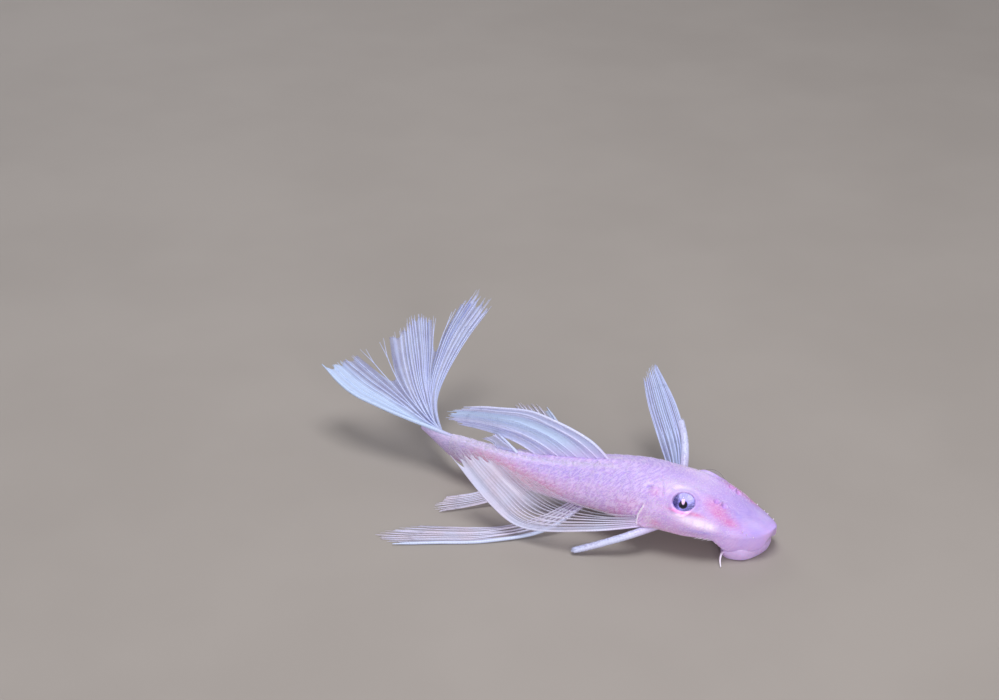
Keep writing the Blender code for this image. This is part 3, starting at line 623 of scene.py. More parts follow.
def make_plate_thorns(finish):
    """Thousands of tiny thorns on the plates and the head's bones, lying back along the body."""
    draw = np.random.default_rng(11)
    starts, counts = np.array(PLATE_STARTS).T
    spots = []
    for number in range(int(counts[-1])):
        for row in range(ROWS):
            for line in range(THORN_LINES):
                for column in range(THORN_COLUMNS):
                    share = (column + 0.5 * (line % 2)) / (THORN_COLUMNS - 0.5)
                    across = -0.82 + 1.64 * share + draw.normal(0.0, 0.05)
                    f = 0.12 + 0.8 * line / (THORN_LINES - 1.0) + draw.normal(0.0, 0.02)
                    s = np.interp(number + f, counts, starts) + PLATE_POINT * (1.0 - 1.4 * abs(across) ** 1.4)
                    spots.append((s, (row + 0.5 + 0.5 * across) * ROW_ANGLE, 0.24 + 0.20 * f))
    for _ in range(RIDGE_THORNS):
        spots.append((draw.uniform(31.0, 63.0), math.radians(draw.uniform(6.0, 15.0)), 0.42))
    for _ in range(HEAD_THORNS):
        s = 6.0 + 16.2 * draw.uniform() ** 0.8
        spots.append((s, math.radians(draw.uniform(0.0, 112.0)), 0.2 + 0.006 * s))
    spots = np.array([(s, side * angle, size) for s, angle, size in spots for side in (1, -1)])
    spots = spots[(spots[:, 0] > 5.0) & (spots[:, 0] < 66.0)]
    s, angle, size = spots.T
    points, masks = skin_surface(s, angle)
    clear = masks["eye_margin"] < 0.05
    for side in (1, -1):
        centre, _ = eye_frame(side)
        clear &= np.linalg.norm(points - centre, axis=-1) > EYE_RADIUS + 0.35
        for shift in (-NOSTRIL_SHIFT, NOSTRIL_SHIFT):
            hole = body_point(NOSTRIL_S + shift, side * NOSTRIL_ANGLE)
            clear &= np.linalg.norm(points - hole, axis=-1) > 0.9
    normals = body_normal(s, angle)
    back = unit(body_point(s + 0.2, angle) - body_point(s - 0.2, angle))
    lean = unit(back + THORN_STEEPNESS * normals + draw.normal(0.0, 0.07, size=points.shape))
    masks.update(patch_masks(s, angle))
    parts = []
    patches = []
    for k in np.flatnonzero(clear):
        shape = thorn(points[k] - THORN_SUNK * normals[k], lean[k], normals[k], size[k], THORN_WIDTH)
        parts.append((*shape, {key: masks[key][k] for key in masks}))
        patches.append((s[k] * MM * 5.0, angle[k] * 0.05))
    thorns = make_joined("plate_thorns", parts, finish)
    bake_map(thorns, patches, len(parts[0][0]))


def bake_map(piece, patches, corners):
    """A UV map where each thorn is one small patch at its root's place on the unrolled skin."""
    layer = piece.data.uv_layers.new(name="OFBake")
    vertex = np.empty(len(piece.data.loops), dtype=np.int32)
    piece.data.loops.foreach_get("vertex_index", vertex)
    turns = 2.0 * math.pi * (vertex % corners) / corners
    middle = np.array(patches)[vertex // corners]
    middle = (middle - middle.min(axis=0)) / np.ptp(middle, axis=0) * 0.98 + 0.01
    spread = 0.0015 * np.stack((np.cos(turns), np.sin(turns)), axis=-1)
    layer.data.foreach_set("uv", (middle + spread).astype(np.float32).ravel())


def hook(root, out, back, length, width, count=7, sides=6):
    """A tapering hook that leaves the skin along out and bends back."""
    t = np.linspace(0.0, 1.0, count)[:, None]
    path = root + length * (0.55 * out * t * (1.3 - 0.5 * t) + back * t ** 1.4)
    sizes = width * (1.0 - 0.85 * t[:, 0])
    return tube(path, out, sizes, sizes, sides)


def make_cheek_thorns(finish):
    """The cluster of hooked thorns at the lower edge of each cheek."""
    draw = np.random.default_rng(5)
    parts = []
    for side in (1, -1):
        for k in range(CHEEK_HOOKS):
            s = 8.6 + 0.42 * k + draw.normal(0.0, 0.06)
            angle = side * math.radians(102.0 - 0.6 * k + 2.4 * (k % 2) + draw.normal(0.0, 0.6))
            normal = body_normal(s, angle)
            back = unit(body_point(s + 0.3, angle) - body_point(s, angle))
            root = body_point(s, angle) - 0.25 * normal
            shape = hook(root, normal, back - (0.0, 0.0, 0.5), 0.72 + 0.2 * draw.uniform(), 0.13)
            parts.append((*shape, {"tip": along_tube(7, 6, np.linspace(0.0, 1.0, 7))}))
    make_joined("cheek_thorns", parts, finish)


def make_snout_buds(finish):
    """Short soft buds along the snout's bare margin, the young fish's first bristles."""
    draw = np.random.default_rng(8)
    t = np.linspace(0.0, 1.0, 6)
    parts = []
    for side in (1, -1):
        for k in range(SNOUT_BUDS):
            s = 2.2 + 1.1 * k + draw.normal(0.0, 0.2)
            angle = side * math.radians(76.0 - 7.0 * k + draw.normal(0.0, 4.0))
            normal = body_normal(s, angle)
            root = body_point(s, angle) - 0.15 * normal
            length = 0.36 + 0.26 * draw.uniform()
            path = root + normal * length * t[:, None]
            path[:, 0] -= 0.12 * length * t ** 2
            sizes = 0.12 * (1.0 - 0.62 * t ** 2)
            shape = tube(path, (0.0, 0.0, 1.0), sizes, sizes)
            parts.append((*shape, {"tip": along_tube(6, 6, t)}))
    make_joined("snout_buds", parts, finish)


# Eyes

def eye_axes(side):
    """Directions of an eye: forwards along the head, up, and out as it looks."""
    out = unit(np.array((GAZE[0], side * GAZE[1], GAZE[2])))
    across = unit(np.cross((0.0, 0.0, 1.0), out))
    return -side * across, np.cross(out, across), out


def in_pupil(x, y):
    """1 inside the pupil, which a lobe of the iris covers from above."""
    circle = 1.0 - ease(PUPIL_RADIUS - 0.06, PUPIL_RADIUS + 0.04, np.hypot(x, y * 1.06))
    lobe = 1.0 - ease(0.92, 1.06, np.hypot(x / 0.34, (y - 0.82) / 0.86))
    return circle * (1.0 - lobe), lobe * (1.0 - ease(PUPIL_RADIUS, PUPIL_RADIUS + 0.4, np.hypot(x, y)))


def polar_rings(tilts, turns):
    """Directions over a ball as (across, up, out) shares, for tilts off the axis and turns round it."""
    return np.stack((np.sin(tilts)[:, None] * np.cos(turns), np.sin(tilts)[:, None] * np.sin(turns),
                     np.cos(tilts)[:, None] + 0.0 * turns), axis=-1)


def make_eye(word, side, finishes):
    """An eyeball with a sunk iris and pupil under a clear cornea."""
    centre, _ = eye_frame(side)
    across, up, out = eye_axes(side)
    axes = np.stack((across, up, out))
    sides = 144
    turns = turns_round(sides)
    tilts = np.concatenate((np.linspace(0.012, IRIS_TILT, 56), np.linspace(IRIS_TILT, math.pi - 0.02, 46)[1:]))
    shares = polar_rings(tilts, turns)
    x = shares[..., 0] * EYE_RADIUS
    y = shares[..., 1] * EYE_RADIUS
    pupil, lobe = in_pupil(x, y)
    iris = 1.0 - ease(IRIS_TILT * 0.93, IRIS_TILT, tilts)[:, None]
    dome = np.cos(tilts)[:, None] * EYE_RADIUS
    flat = math.cos(IRIS_TILT) * EYE_RADIUS + 0.30 * (dome - math.cos(IRIS_TILT) * EYE_RADIUS)
    streaks = 0.025 * np.sin(31.0 * turns + 2.0 * np.sin(5.0 * turns))
    streaks = streaks[None, :] * hill(tilts[:, None] - 0.6, 0.3)
    depth = flat + streaks - PUPIL_DEPTH * pupil + 0.06 * lobe
    local = np.stack((x, y, dome + iris * (depth - dome)), axis=-1).reshape(-1, 3)
    ends = ((0.0, 0.0, flat[0, 0] - PUPIL_DEPTH), (0.0, 0.0, -EYE_RADIUS))
    points = centre + np.concatenate((local, ends)) @ axes
    reach = np.broadcast_to((tilts / IRIS_TILT)[:, None], x.shape)
    values = {}
    for key, amounts, at_ends in (("pupil", pupil, (1.0, 0.0)), ("lobe", lobe, (0.0, 0.0)),
                                  ("iris_reach", reach, (0.0, 3.0)), ("iris_x", x, (0.0, 0.0)),
                                  ("iris_y", y, (0.0, 0.0))):
        values[key] = np.append(amounts.ravel(), at_ends)
    globe = make_piece(f"eye_{word}_globe", points, tapered_faces(len(tilts), sides), finishes["globe"], values)
    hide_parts("eye_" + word)
    make_cornea(word, centre, axes, finishes["cornea"])


def make_cornea(word, centre, axes, finish):
    """The clear skin over an eye: a thin dome that bulges a little over the pupil."""
    sides = 96
    tilts = np.linspace(0.02, IRIS_TILT * 1.12, 34)
    shells = []
    for lift in CORNEA_SHELLS:
        radius = EYE_RADIUS + lift * hill(tilts, 0.8)[:, None, None] + 0.01 * (lift == CORNEA_SHELLS[0])
        shells.append(centre + (polar_rings(tilts, turns_round(sides)) * radius) @ axes)
    rows = np.concatenate((shells[0], shells[1][::-1]))
    cornea = make_piece(f"eye_{word}_cornea", rows, capped_faces(len(rows), sides), finish)
    cornea.visible_shadow = False


# Mouth

def underside_z(s, lateral):
    """Height of the head's underside at a place on its section."""
    half, low, wide, _ = section_at(s)
    power = BELLY_ROUNDNESS[0] - BELLY_ROUNDNESS[1] * s / STANDARD_LENGTH
    share = np.minimum(np.abs(lateral) / half, 0.999)
    return wide - (wide - low) * (1.0 - share ** power) ** (1.0 / power)


# Lip section from inside the head, out and down to the floor, and in to the mouth slot:
# share of the disc's half size, share of the way down from the head, and height for the last ones
LIP_SECTION = (
    (0.62, -0.25, None), (0.80, -0.15, None), (0.88, 0.08, None), (0.94, 0.30, None), (1.01, 0.50, None),
    (1.04, 0.68, None), (1.02, 0.86, None), (0.97, None, 0.14), (0.90, None, 0.04), (0.80, None, 0.05),
    (0.66, None, 0.08), (0.52, None, 0.14), (0.42, None, 0.3), (0.37, None, 0.65), (0.35, None, 1.2),
    (0.20, None, 1.5),
)
# How much of the disc lies behind its middle, and the shares of the section over which the round
# disc turns into the narrow slot
LIP_REAR = 0.80
SLOT_SHARES = (0.36, 0.56)
SLOT_HALF_LENGTH = 0.95
SLOT_HALF_WIDTH = 2.9
SLOT_FULL_SHARE = 0.37
LIP_LOBES = 6.0
LIP_CLEARANCE = 0.02

# Papillae on the lips and the fringe at their rim: how many go round, rows of papillae, and heights
WARTS_ROUND = 44.0
WART_ROWS = 13.0
WART_HEIGHT = 0.05
FRINGE_ROUND = 66.0
FRINGE_DEPTH = 0.05
LIP_UNEVEN = 0.05

# Teeth: places of the two jaws, of the first tooth and of the next ones, and their size
JAW_SHIFT = 0.55
TOOTH_FIRST = 0.28
TOOTH_SPACING = 0.155
TOOTH_ROOT = 1.15
TOOTH_LENGTH = 0.75
TOOTH_LEAN = 0.35
TOOTH_SIZE = 0.05


def make_lips(finish):
    """The sucker mouth: fleshy lips with papillae round a slot, joined to the snout by a soft wall."""
    sides = 264
    turns = turns_round(sides)
    half_disc = 0.5 * DISC_LENGTH * np.where(np.cos(turns) > 0.0, LIP_REAR, 1.0)
    section = []
    for share, way, height in LIP_SECTION:
        lobe = 1.0 + 0.02 * np.cos(LIP_LOBES * turns) * (share > 0.6)
        slot = 1.0 - ease(*SLOT_SHARES, share)
        in_slot = slot * share / SLOT_FULL_SHARE
        half_long = (1.0 - slot) * half_disc * share * lobe + in_slot * SLOT_HALF_LENGTH
        half_wide = (1.0 - slot) * 0.5 * DISC_WIDTH * share * lobe + in_slot * SLOT_HALF_WIDTH
        s = DISC_CENTRE_S + (SLOT_S - DISC_CENTRE_S) * slot + half_long * np.cos(turns)
        lateral = half_wide * np.sin(turns)
        roll = axis_at(s)[2]
        top = underside_z(s, lateral) - lateral * np.sin(roll)
        z = top - way * (top - 0.2) if height is None else height + 0.0 * turns
        section.append(on_section(s, lateral, z, level=True))
    t = np.linspace(0.0, 1.0, 113)
    rows = catmull_rom(np.array(section), t)
    wart = within(t, 0.46, 0.58, 0.80, 0.9)
    bumps = np.sin(WARTS_ROUND * turns)[None, :] * np.sin(2.0 * math.pi * WART_ROWS * t)[:, None]
    bumps = bumps * wart[:, None]
    fringe = hill(t - 0.47, 0.025)[:, None] * np.sin(FRINGE_ROUND * turns)[None, :]
    middle = place(DISC_CENTRE_S, 0.0, 0.0)
    outward = unit((rows - middle) * (1.0, 1.0, 0.0))
    rows = rows + FRINGE_DEPTH * fringe[..., None] * outward
    uneven = waver(rows, 2.6, 21) * (1.0 - wart[:, None]) * ease(0.1, 0.3, t)[:, None]
    rows[..., 2] = np.maximum(rows[..., 2] + WART_HEIGHT * bumps + LIP_UNEVEN * uneven, LIP_CLEARANCE)
    inner = np.broadcast_to(ease(0.74, 0.95, t)[:, None], rows.shape[:2])
    values = {"inner": inner, "wart": 0.5 + 0.5 * bumps}
    lips = make_piece("lips", rows, capped_faces(len(rows), sides), finish, values)
    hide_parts("mouth_disc")


def make_barbels(finish):
    """A soft feeler at each corner of the lips."""
    parts = []
    t = np.linspace(0.0, 1.0, 26)
    for side in (1, -1):
        keys = [on_section(s, side * lateral, z, level=True) for s, lateral, z in BARBEL_PATH]
        sizes = BARBEL_SIZE * (1.0 - 0.68 * t ** 0.8)
        shape = tube(catmull_rom(keys, t), (0.0, 0.0, 1.0), sizes, sizes, 12)
        parts.append((*shape, {"tip": along_tube(26, 12, t)}))
    make_joined("barbels", parts, finish)


def make_teeth(finish):
    """Rows of fine curved teeth on the two jaws inside the slot."""
    parts = []
    t = np.linspace(0.0, 1.0, 6)
    sizes = TOOTH_SIZE * (1.0 - 0.7 * t)
    for jaw, lean in ((-JAW_SHIFT, TOOTH_LEAN), (JAW_SHIFT, -TOOTH_LEAN)):
        for side in (1, -1):
            for k in range(TEETH):
                lateral = side * (TOOTH_FIRST + TOOTH_SPACING * k)
                root = on_section(SLOT_S + jaw, lateral, TOOTH_ROOT, level=True)
                path = root + t[:, None] * (0.0, 0.0, -TOOTH_LENGTH) + t[:, None] ** 2 * (-lean, 0.0, 0.0)
                shape = tube(path, (0.0, 1.0, 0.0), sizes, sizes, 5)
                parts.append((*shape, {"tip": along_tube(6, 5, t)}))
    make_joined("teeth", parts, finish)


# Fins. The key rays follow the solids' own, from root to tip. rays counts the rays, ray is half a
# soft ray's thickness, stout thickens the leading ones, and pleat is the depth of the folds between
# rays. tint picks the colours and film how dense the membrane is, band is a brighter stretch across
# the fin as (middle, width, strength), and veil makes the outer part milky, as (start, strength,
# extra at the leading edge, clearness of the rear). clefts part the fin after a ray, as (ray, how
# far out the membrane reaches there, push), and spine is a stout spine's path.
FINS = {
    "dorsal_fin": dict(
        keys=(
            ((31.3, 0.0, 10.8), (37.5, 0.9, 15.2), (48.0, 2.2, 17.6), (57.0, 3.2, 16.6), (64.5, 3.9, 14.8)),
            ((36.0, 0.0, 10.4), (43.5, 1.5, 14.2), (52.0, 2.8, 15.3), (60.3, 3.6, 14.4), (68.2, 4.0, 12.9)),
            ((41.0, 0.2, 9.6), (47.5, 1.6, 12.2), (54.8, 3.0, 13.0), (62.0, 3.8, 12.4), (68.3, 4.1, 11.5)),
            ((46.0, 0.5, 8.7), (51.0, 1.8, 10.4), (56.0, 3.0, 10.9), (60.8, 3.8, 10.7), (66.0, 4.4, 10.4)),
        ),
        rays=8, ray=0.17, stout=(1.9,), pleat=0.26, film=0.62, band=(0.42, 0.20, 1.0), seed=31,
        tint="bright", veil=(0.3, 0.15, 0.0, 0.0),
    ),
    "adipose_fin": dict(
        keys=(
            ((50.6, 0.6, 7.9), (53.6, 0.9, 10.6), (56.3, 1.2, 12.4)),
            ((52.6, 0.7, 7.9), (55.4, 1.0, 10.3), (58.0, 1.4, 11.3)),
            ((54.4, 0.8, 7.9), (57.2, 1.2, 9.9), (59.6, 1.5, 10.2)),
        ),
        rays=2, ray=0.26, stout=(1.3, 0.3), pleat=0.05, film=0.36, band=(0.0, 0.1, 0.4), seed=32,
        tint="bright",
    ),
    "anal_fin": dict(
        keys=(
            ((46.0, 0.3, 4.8), (50.0, -2.6, 2.1), (56.5, -7.0, 0.9), (63.5, -12.2, 0.5)),
            ((47.7, 0.4, 4.8), (52.0, -2.0, 2.2), (58.0, -5.8, 0.9), (65.0, -9.8, 0.5)),
            ((49.4, 0.5, 4.8), (53.6, -1.2, 2.4), (58.8, -4.2, 1.1), (64.4, -7.0, 0.6)),
        ),
        rays=5, ray=0.17, stout=(1.2,), pleat=0.15, film=0.16, band=(0.5, 0.1, 0.0), seed=33,
    ),
    "caudal_fin": dict(
        keys=(
            ((63.5, 1.6, 8.6), (72.0, 2.5, 9.5), (81.0, 3.4, 10.7), (90.0, 5.2, 12.2), (99.3, 10.6, 14.1)),
            ((63.5, 1.6, 7.9), (71.5, 4.2, 9.0), (79.5, 7.4, 11.2), (87.0, 10.6, 13.6), (94.2, 14.4, 15.8)),
            ((63.5, 1.6, 7.1), (70.5, 4.8, 8.2), (76.5, 8.6, 11.6), (81.4, 13.6, 16.2), (85.7, 20.2, 20.9)),
            ((63.5, 1.6, 6.3), (70.8, 5.4, 7.6), (76.0, 11.0, 12.4), (80.0, 18.0, 18.0), (83.8, 25.0, 22.3)),
            ((63.5, 1.6, 5.5), (70.8, 5.8, 6.4), (75.4, 12.0, 11.8), (77.4, 19.0, 17.6), (79.0, 26.0, 22.2)),
            ((63.5, 1.6, 4.8), (70.6, 6.2, 5.2), (75.4, 13.0, 10.8), (76.4, 24.5, 17.6), (75.3, 37.2, 22.8)),
            ((63.5, 1.6, 4.0), (69.0, 6.2, 4.2), (74.2, 13.4, 9.4), (73.6, 24.0, 15.6), (70.8, 36.2, 21.4)),
        ),
        rays=16, ray=0.19, stout=(2.1, 1.0), pleat=0.22, film=0.28, band=(0.04, 0.08, 1.0), seed=34,
        clefts=((3, 0.66, 0.45), (10, 0.72, 0.80)), tint="cool",
    ),
    "pectoral_fin_right": dict(
        keys=(
            ((20.4, -6.6, 5.0), (32.0, -13.2, 4.8), (44.3, -14.2, 2.9), (52.2, -12.7, 5.7), (62.0, -9.2, 12.6)),
            ((20.6, -6.6, 5.7), (32.0, -12.6, 6.1), (43.5, -13.2, 4.6), (50.8, -11.5, 8.1), (60.0, -8.4, 14.2)),
            ((20.8, -6.6, 6.3), (31.0, -11.6, 7.0), (40.0, -11.8, 6.8), (47.4, -10.1, 9.1), (54.6, -7.8, 13.0)),
            ((21.0, -6.6, 6.9), (28.5, -10.6, 7.8), (35.5, -10.6, 8.3), (41.0, -9.6, 9.2), (46.0, -8.6, 10.6)),
        ),
        rays=9, ray=0.13, stout=(1.6,), pleat=0.18, film=0.03, band=(0.1, 0.12, 0.2), seed=35,
        veil=(0.50, 0.66, 0.30, 0.82),
        spine=((20.2, -6.4, 4.9), (24.7, -10.7, 4.1), (30.0, -13.1, 2.2), (34.8, -15.0, 0.62)),
    ),
    "pectoral_fin_left": dict(
        keys=(
            ((20.4, 6.6, 5.6), (22.1, 14.3, 9.8), (26.5, 22.4, 13.2), (34.1, 31.5, 17.0)),
            ((20.7, 6.6, 5.4), (23.8, 14.2, 9.2), (28.8, 22.3, 12.6), (35.0, 31.6, 16.8)),
            ((21.3, 6.6, 5.0), (26.5, 14.0, 8.0), (32.0, 22.0, 11.8), (35.6, 28.6, 15.0)),
        ),
        rays=8, ray=0.16, stout=(1.3,), pleat=0.26, film=0.30, band=(0.55, 0.22, 0.3), seed=36,
        tint="cool",
        spine=((20.2, 6.4, 5.3), (21.3, 11.8, 8.5), (22.7, 15.8, 10.5), (24.8, 19.8, 12.1)),
    ),
    "pelvic_fin_right": dict(
        keys=(
            ((34.8, -3.2, 5.2), (41.0, -10.8, 1.3), (50.8, -17.6, 0.42), (59.5, -21.6, 0.42),
             (67.5, -25.2, 0.42)),
            ((35.8, -3.0, 5.2), (42.3, -9.4, 1.4), (52.0, -15.8, 0.42), (62.0, -20.0, 0.42),
             (71.5, -23.0, 0.42)),
            ((36.8, -2.6, 5.2), (43.2, -7.4, 1.8), (50.0, -11.8, 0.6), (57.0, -14.8, 0.42),
             (65.5, -17.4, 0.42)),
        ),
        rays=6, ray=0.19, stout=(2.0,), pleat=0.20, film=0.12, band=(0.03, 0.1, 0.7), seed=37,
    ),
    "pelvic_fin_left": dict(
        keys=(
            ((34.8, 3.2, 5.2), (39.7, 11.0, 1.3), (47.0, 20.2, 0.42), (53.0, 27.4, 0.42), (58.0, 33.4, 0.42)),
            ((35.8, 3.0, 5.2), (42.0, 9.8, 1.4), (50.4, 19.0, 0.42), (58.0, 26.8, 0.42), (64.5, 33.3, 0.42)),
            ((36.8, 2.6, 5.2), (43.5, 7.8, 1.8), (51.5, 15.2, 0.6), (58.5, 21.8, 0.42), (64.8, 27.6, 0.42)),
        ),
        rays=6, ray=0.19, stout=(2.0,), pleat=0.20, film=0.12, band=(0.03, 0.1, 0.7), seed=38,
    ),
}

# Grid of a fin's middle sheet. A sheet under the laid height rests on the floor and drops a little,
# and a free one flutters.
SHEET_ACROSS = 241
SHEET_ALONG = 181
LAID_HEIGHT = 0.42
LAID_DROP = 0.22
FLUTTER = 0.22

# Membrane: its grid, half thickness at root and edge, and how far out it reaches, less between rays
FILM_PER_GAP = 12
FILM_ROWS = 84
FILM_HALF = (0.05, 0.022)
FILM_END = 0.95
FILM_HOLLOW = 0.03
FILM_CLEARANCE = 0.12

# Rays: where along they fork, how far their branches part, and the sizes of stem and branches
FORKS = (0.34, 0.80)
FORK_SPREAD = (0.25, 0.06)
FORK_OVERLAP = 0.03
BRANCH_SIZES = (1.0, 0.82, 0.66)
RAY_CLEARANCE = 0.02

# Pectoral spines: half thickness at root and tip, and how flat they are
SPINE_SIZES = (0.86, 0.64)
SPINE_FLATNESS = 0.82


def fin_sheet(keys, seed):
    """A fin's middle sheet on a fine grid: points and the directions square to it."""
    rays = np.array([[place(*point) for point in ray] for ray in keys])
    u = np.linspace(0.0, 1.0, SHEET_ACROSS)
    v = np.linspace(0.0, 1.0, SHEET_ALONG)
    along = catmull_rom(rays.transpose(1, 0, 2), v)
    points = catmull_rom(along.transpose(1, 0, 2), u)
    laid = 1.0 - ease(LAID_HEIGHT + 0.1, LAID_HEIGHT + 1.2, points[..., 2])
    points[..., 2] -= LAID_DROP * laid
    normals = unit(np.cross(np.gradient(points, axis=0), np.gradient(points, axis=1)))
    flutter = waver(points, 9.0, seed) * FLUTTER * ease(0.15, 0.7, v)[None, :] * (1.0 - laid)
    return points + flutter[..., None] * normals, normals


def on_sheet(sheet, u, v):
    """Points and normals of a sheet at shares u across and v along, between its grid points."""
    found = []
    x = np.clip(u, 0.0, 1.0) * (SHEET_ACROSS - 1)
    y = np.clip(v, 0.0, 1.0) * (SHEET_ALONG - 1)
    i = np.minimum(x.astype(int), SHEET_ACROSS - 2)
    j = np.minimum(y.astype(int), SHEET_ALONG - 2)
    fx = (x - i)[..., None]
    fy = (y - j)[..., None]
    for layer in sheet:
        near = layer[i, j] * (1.0 - fy) + layer[i, j + 1] * fy
        far = layer[i + 1, j] * (1.0 - fy) + layer[i + 1, j + 1] * fy
        found.append(near * (1.0 - fx) + far * fx)
    return found[0], unit(found[1])


def pleat_at(u, v, rays, pleat):
    """How far the pleated fin stands off its sheet: rays take turns on either side."""
    return pleat * np.cos(math.pi * u * (rays - 1)) * ease(0.02, 0.3, v) * (1.0 - 0.5 * v)


def parted(u, v, rays, clefts):
    """Shares across a fin with its rays drawn apart at the clefts towards the fin's edge."""
    moved = u
    for ray, _, push in clefts:
        off = u * (rays - 1) - ray - 0.5
        moved = moved + push * np.tanh(2.5 * off) * hill(off, 2.2) * ease(0.3, 1.0, v) / (rays - 1)
    return moved


def ray_branches(u0, spread, tip, branching):
    """A soft ray as a stem and its branches, each (level, u along it, v along it)."""
    if not branching:
        v = np.linspace(0.0, tip, 60)
        return [(0, u0 + 0.0 * v, v)]
    first, second = FORKS
    v = np.linspace(0.0, first + FORK_OVERLAP, 30)
    branches = [(0, u0 + 0.0 * v, v)]
    for turn in (1, -1):
        bend = turn * FORK_SPREAD[0] * spread
        v = np.linspace(first, second + FORK_OVERLAP, 22)
        branches.append((1, u0 + bend * ease(first, first + 0.22, v), v))
        for twist in (1, -1):
            v = np.linspace(second, tip, 22)
            start = u0 + bend * ease(first, first + 0.22, v)
            branches.append((2, start + twist * FORK_SPREAD[1] * spread * ease(second, second + 0.2, v), v))
    return branches


def make_rays(name, sheet, rays, ray, stout, pleat, clefts, seed, finish):
    """All the rays of a fin, the soft ones forking twice on their way to the edge."""
    draw = np.random.default_rng(seed)
    spread = 1.0 / (rays - 1)
    sizes = dict(zip((0, rays - 1), stout))
    parts = []
    for number in range(rays):
        inner = 0 < number < rays - 1
        u0 = number * spread + (draw.uniform(-0.16, 0.16) * spread if inner else 0.0)
        factor = sizes.get(number, draw.uniform(0.82, 1.12))
        for level, u, v in ray_branches(u0, spread, 1.0 - draw.uniform(0.0, 0.03), factor < 1.5):
            v = v[0] + (v - v[0]) * (1.0 - draw.uniform(0.0, 0.2) * (level == 2))
            u = parted(np.clip(u, 0.0, 1.0), v, rays, clefts)
            points, normals = on_sheet(sheet, u, v)
            points = points + pleat_at(u, v, rays, pleat)[:, None] * normals
            taper = (1.0 - 0.40 * v) * (1.0 - 0.55 * ease(0.86, 1.0, v)) * BRANCH_SIZES[level]
            size = ray * factor * taper
            points[:, 2] = np.maximum(points[:, 2], size + RAY_CLEARANCE)
            shape = tube(points, normals, size, size * 1.15)
            length = np.append(0.0, np.cumsum(np.linalg.norm(np.diff(points, axis=0), axis=1)))
            count = len(v)
            parts.append((*shape, {"along": along_tube(count, 6, v), "across": along_tube(count, 6, u),
                                   "gap": 0.0, "length": along_tube(count, 6, length + v[0] * 20.0)}))
    make_joined(name + "_rays", parts, finish)


def film_ends(u, rays, clefts):
    """How far along the fin the membrane reaches at each share across."""
    gap = u * (rays - 1)
    end = FILM_END - FILM_HOLLOW * np.sin(math.pi * gap) ** 2
    for ray, reach, _ in clefts:
        inside = (gap > ray + 0.08) & (gap < ray + 0.92)
        end = np.where(inside, reach + (end - reach) * np.abs(2.0 * (gap - ray) - 1.0) ** 3, end)
    return end


def make_film(name, sheet, rays, pleat, clefts, finish):
    """The membrane between a fin's rays, a thin closed sheet that folds from ray to ray."""
    columns = (rays - 1) * FILM_PER_GAP * (4 if rays < 4 else 1) + 1
    u = np.linspace(0.0, 1.0, columns)[:, None]
    share = np.linspace(0.0, 1.0, FILM_ROWS)[None, :]
    v = share * film_ends(u, rays, clefts)
    u = u + 0.0 * v
    points, normals = on_sheet(sheet, parted(u, v, rays, clefts), v)
    points = points + pleat_at(u, v, rays, pleat)[..., None] * normals
    half = FILM_HALF[0] + (FILM_HALF[1] - FILM_HALF[0]) * v
    points[..., 2] = np.maximum(points[..., 2], FILM_CLEARANCE)
    shift = half[..., None] * normals
    both = np.concatenate(((points + shift).reshape(-1, 3), (points - shift).reshape(-1, 3)))
    count = columns * FILM_ROWS
    faces = grid_faces(columns, FILM_ROWS)
    faces += [tuple(corner + count for corner in reversed(face)) for face in faces]
    index = np.arange(count).reshape(columns, FILM_ROWS)
    rim = np.concatenate((index[0, :-1], index[:-1, -1], index[-1, :0:-1], index[:0:-1, 0])).tolist()
    for k, a in enumerate(rim):
        b = rim[(k + 1) % len(rim)]
        faces.append((a, b, b + count, a + count))
    gaps = u * (rays - 1)
    first = FORKS[0]
    plain = np.sin(math.pi * gaps) ** 2
    forked = np.cos(2.0 * math.pi * gaps) ** 2
    gap = plain + (forked - plain) * ease(first, first + 0.2, v)
    values = {"along": v, "across": u, "gap": gap, "length": 0.0 * v}
    values = {key: np.tile(np.ravel(amounts), 2) for key, amounts in values.items()}
    film = make_piece(name + "_film", both, faces, finish, values)
    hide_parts(name)


def make_spine(name, keys, finish):
    """The stout leading spine of a pectoral fin, set with small thorns."""
    draw = np.random.default_rng(len(name))
    t = np.linspace(0.0, 1.0, 60)
    path = catmull_rom([place(*key) for key in keys], t)
    size = (SPINE_SIZES[0] + (SPINE_SIZES[1] - SPINE_SIZES[0]) * t) * (1.0 - 0.75 * ease(0.93, 1.0, t) ** 2)
    shape = tube(path, (0.0, 0.0, 1.0), size, size * SPINE_FLATNESS, 20)
    parts = [(*shape, {"along": along_tube(60, 20, 0.5 * t), "across": 0.0, "gap": 0.0,
                       "length": along_tube(60, 20, t * 17.0)})]
    ahead = unit(np.gradient(path, axis=0))
    for _ in range(SPINE_THORNS):
        k = int(draw.uniform(0.12, 0.98) * 59)
        turn = draw.uniform(0.0, 2.0 * math.pi)
        side = unit(np.cross(ahead[k], (0.0, 0.0, 1.0)))
        out = math.cos(turn) * side + math.sin(turn) * np.cross(side, ahead[k])
        root = path[k] + out * size[k] * 0.80
        lean = unit(ahead[k] + 0.45 * out)
        points, faces = thorn(root, lean, out, 0.32 + 0.25 * k / 59.0, 0.06)
        points[:, 2] = np.maximum(points[:, 2], 0.03)
        parts.append((points, faces, {"along": 0.3, "across": 0.0, "gap": 0.0, "length": 0.0}))
    make_joined(name + "_spine", parts, finish)


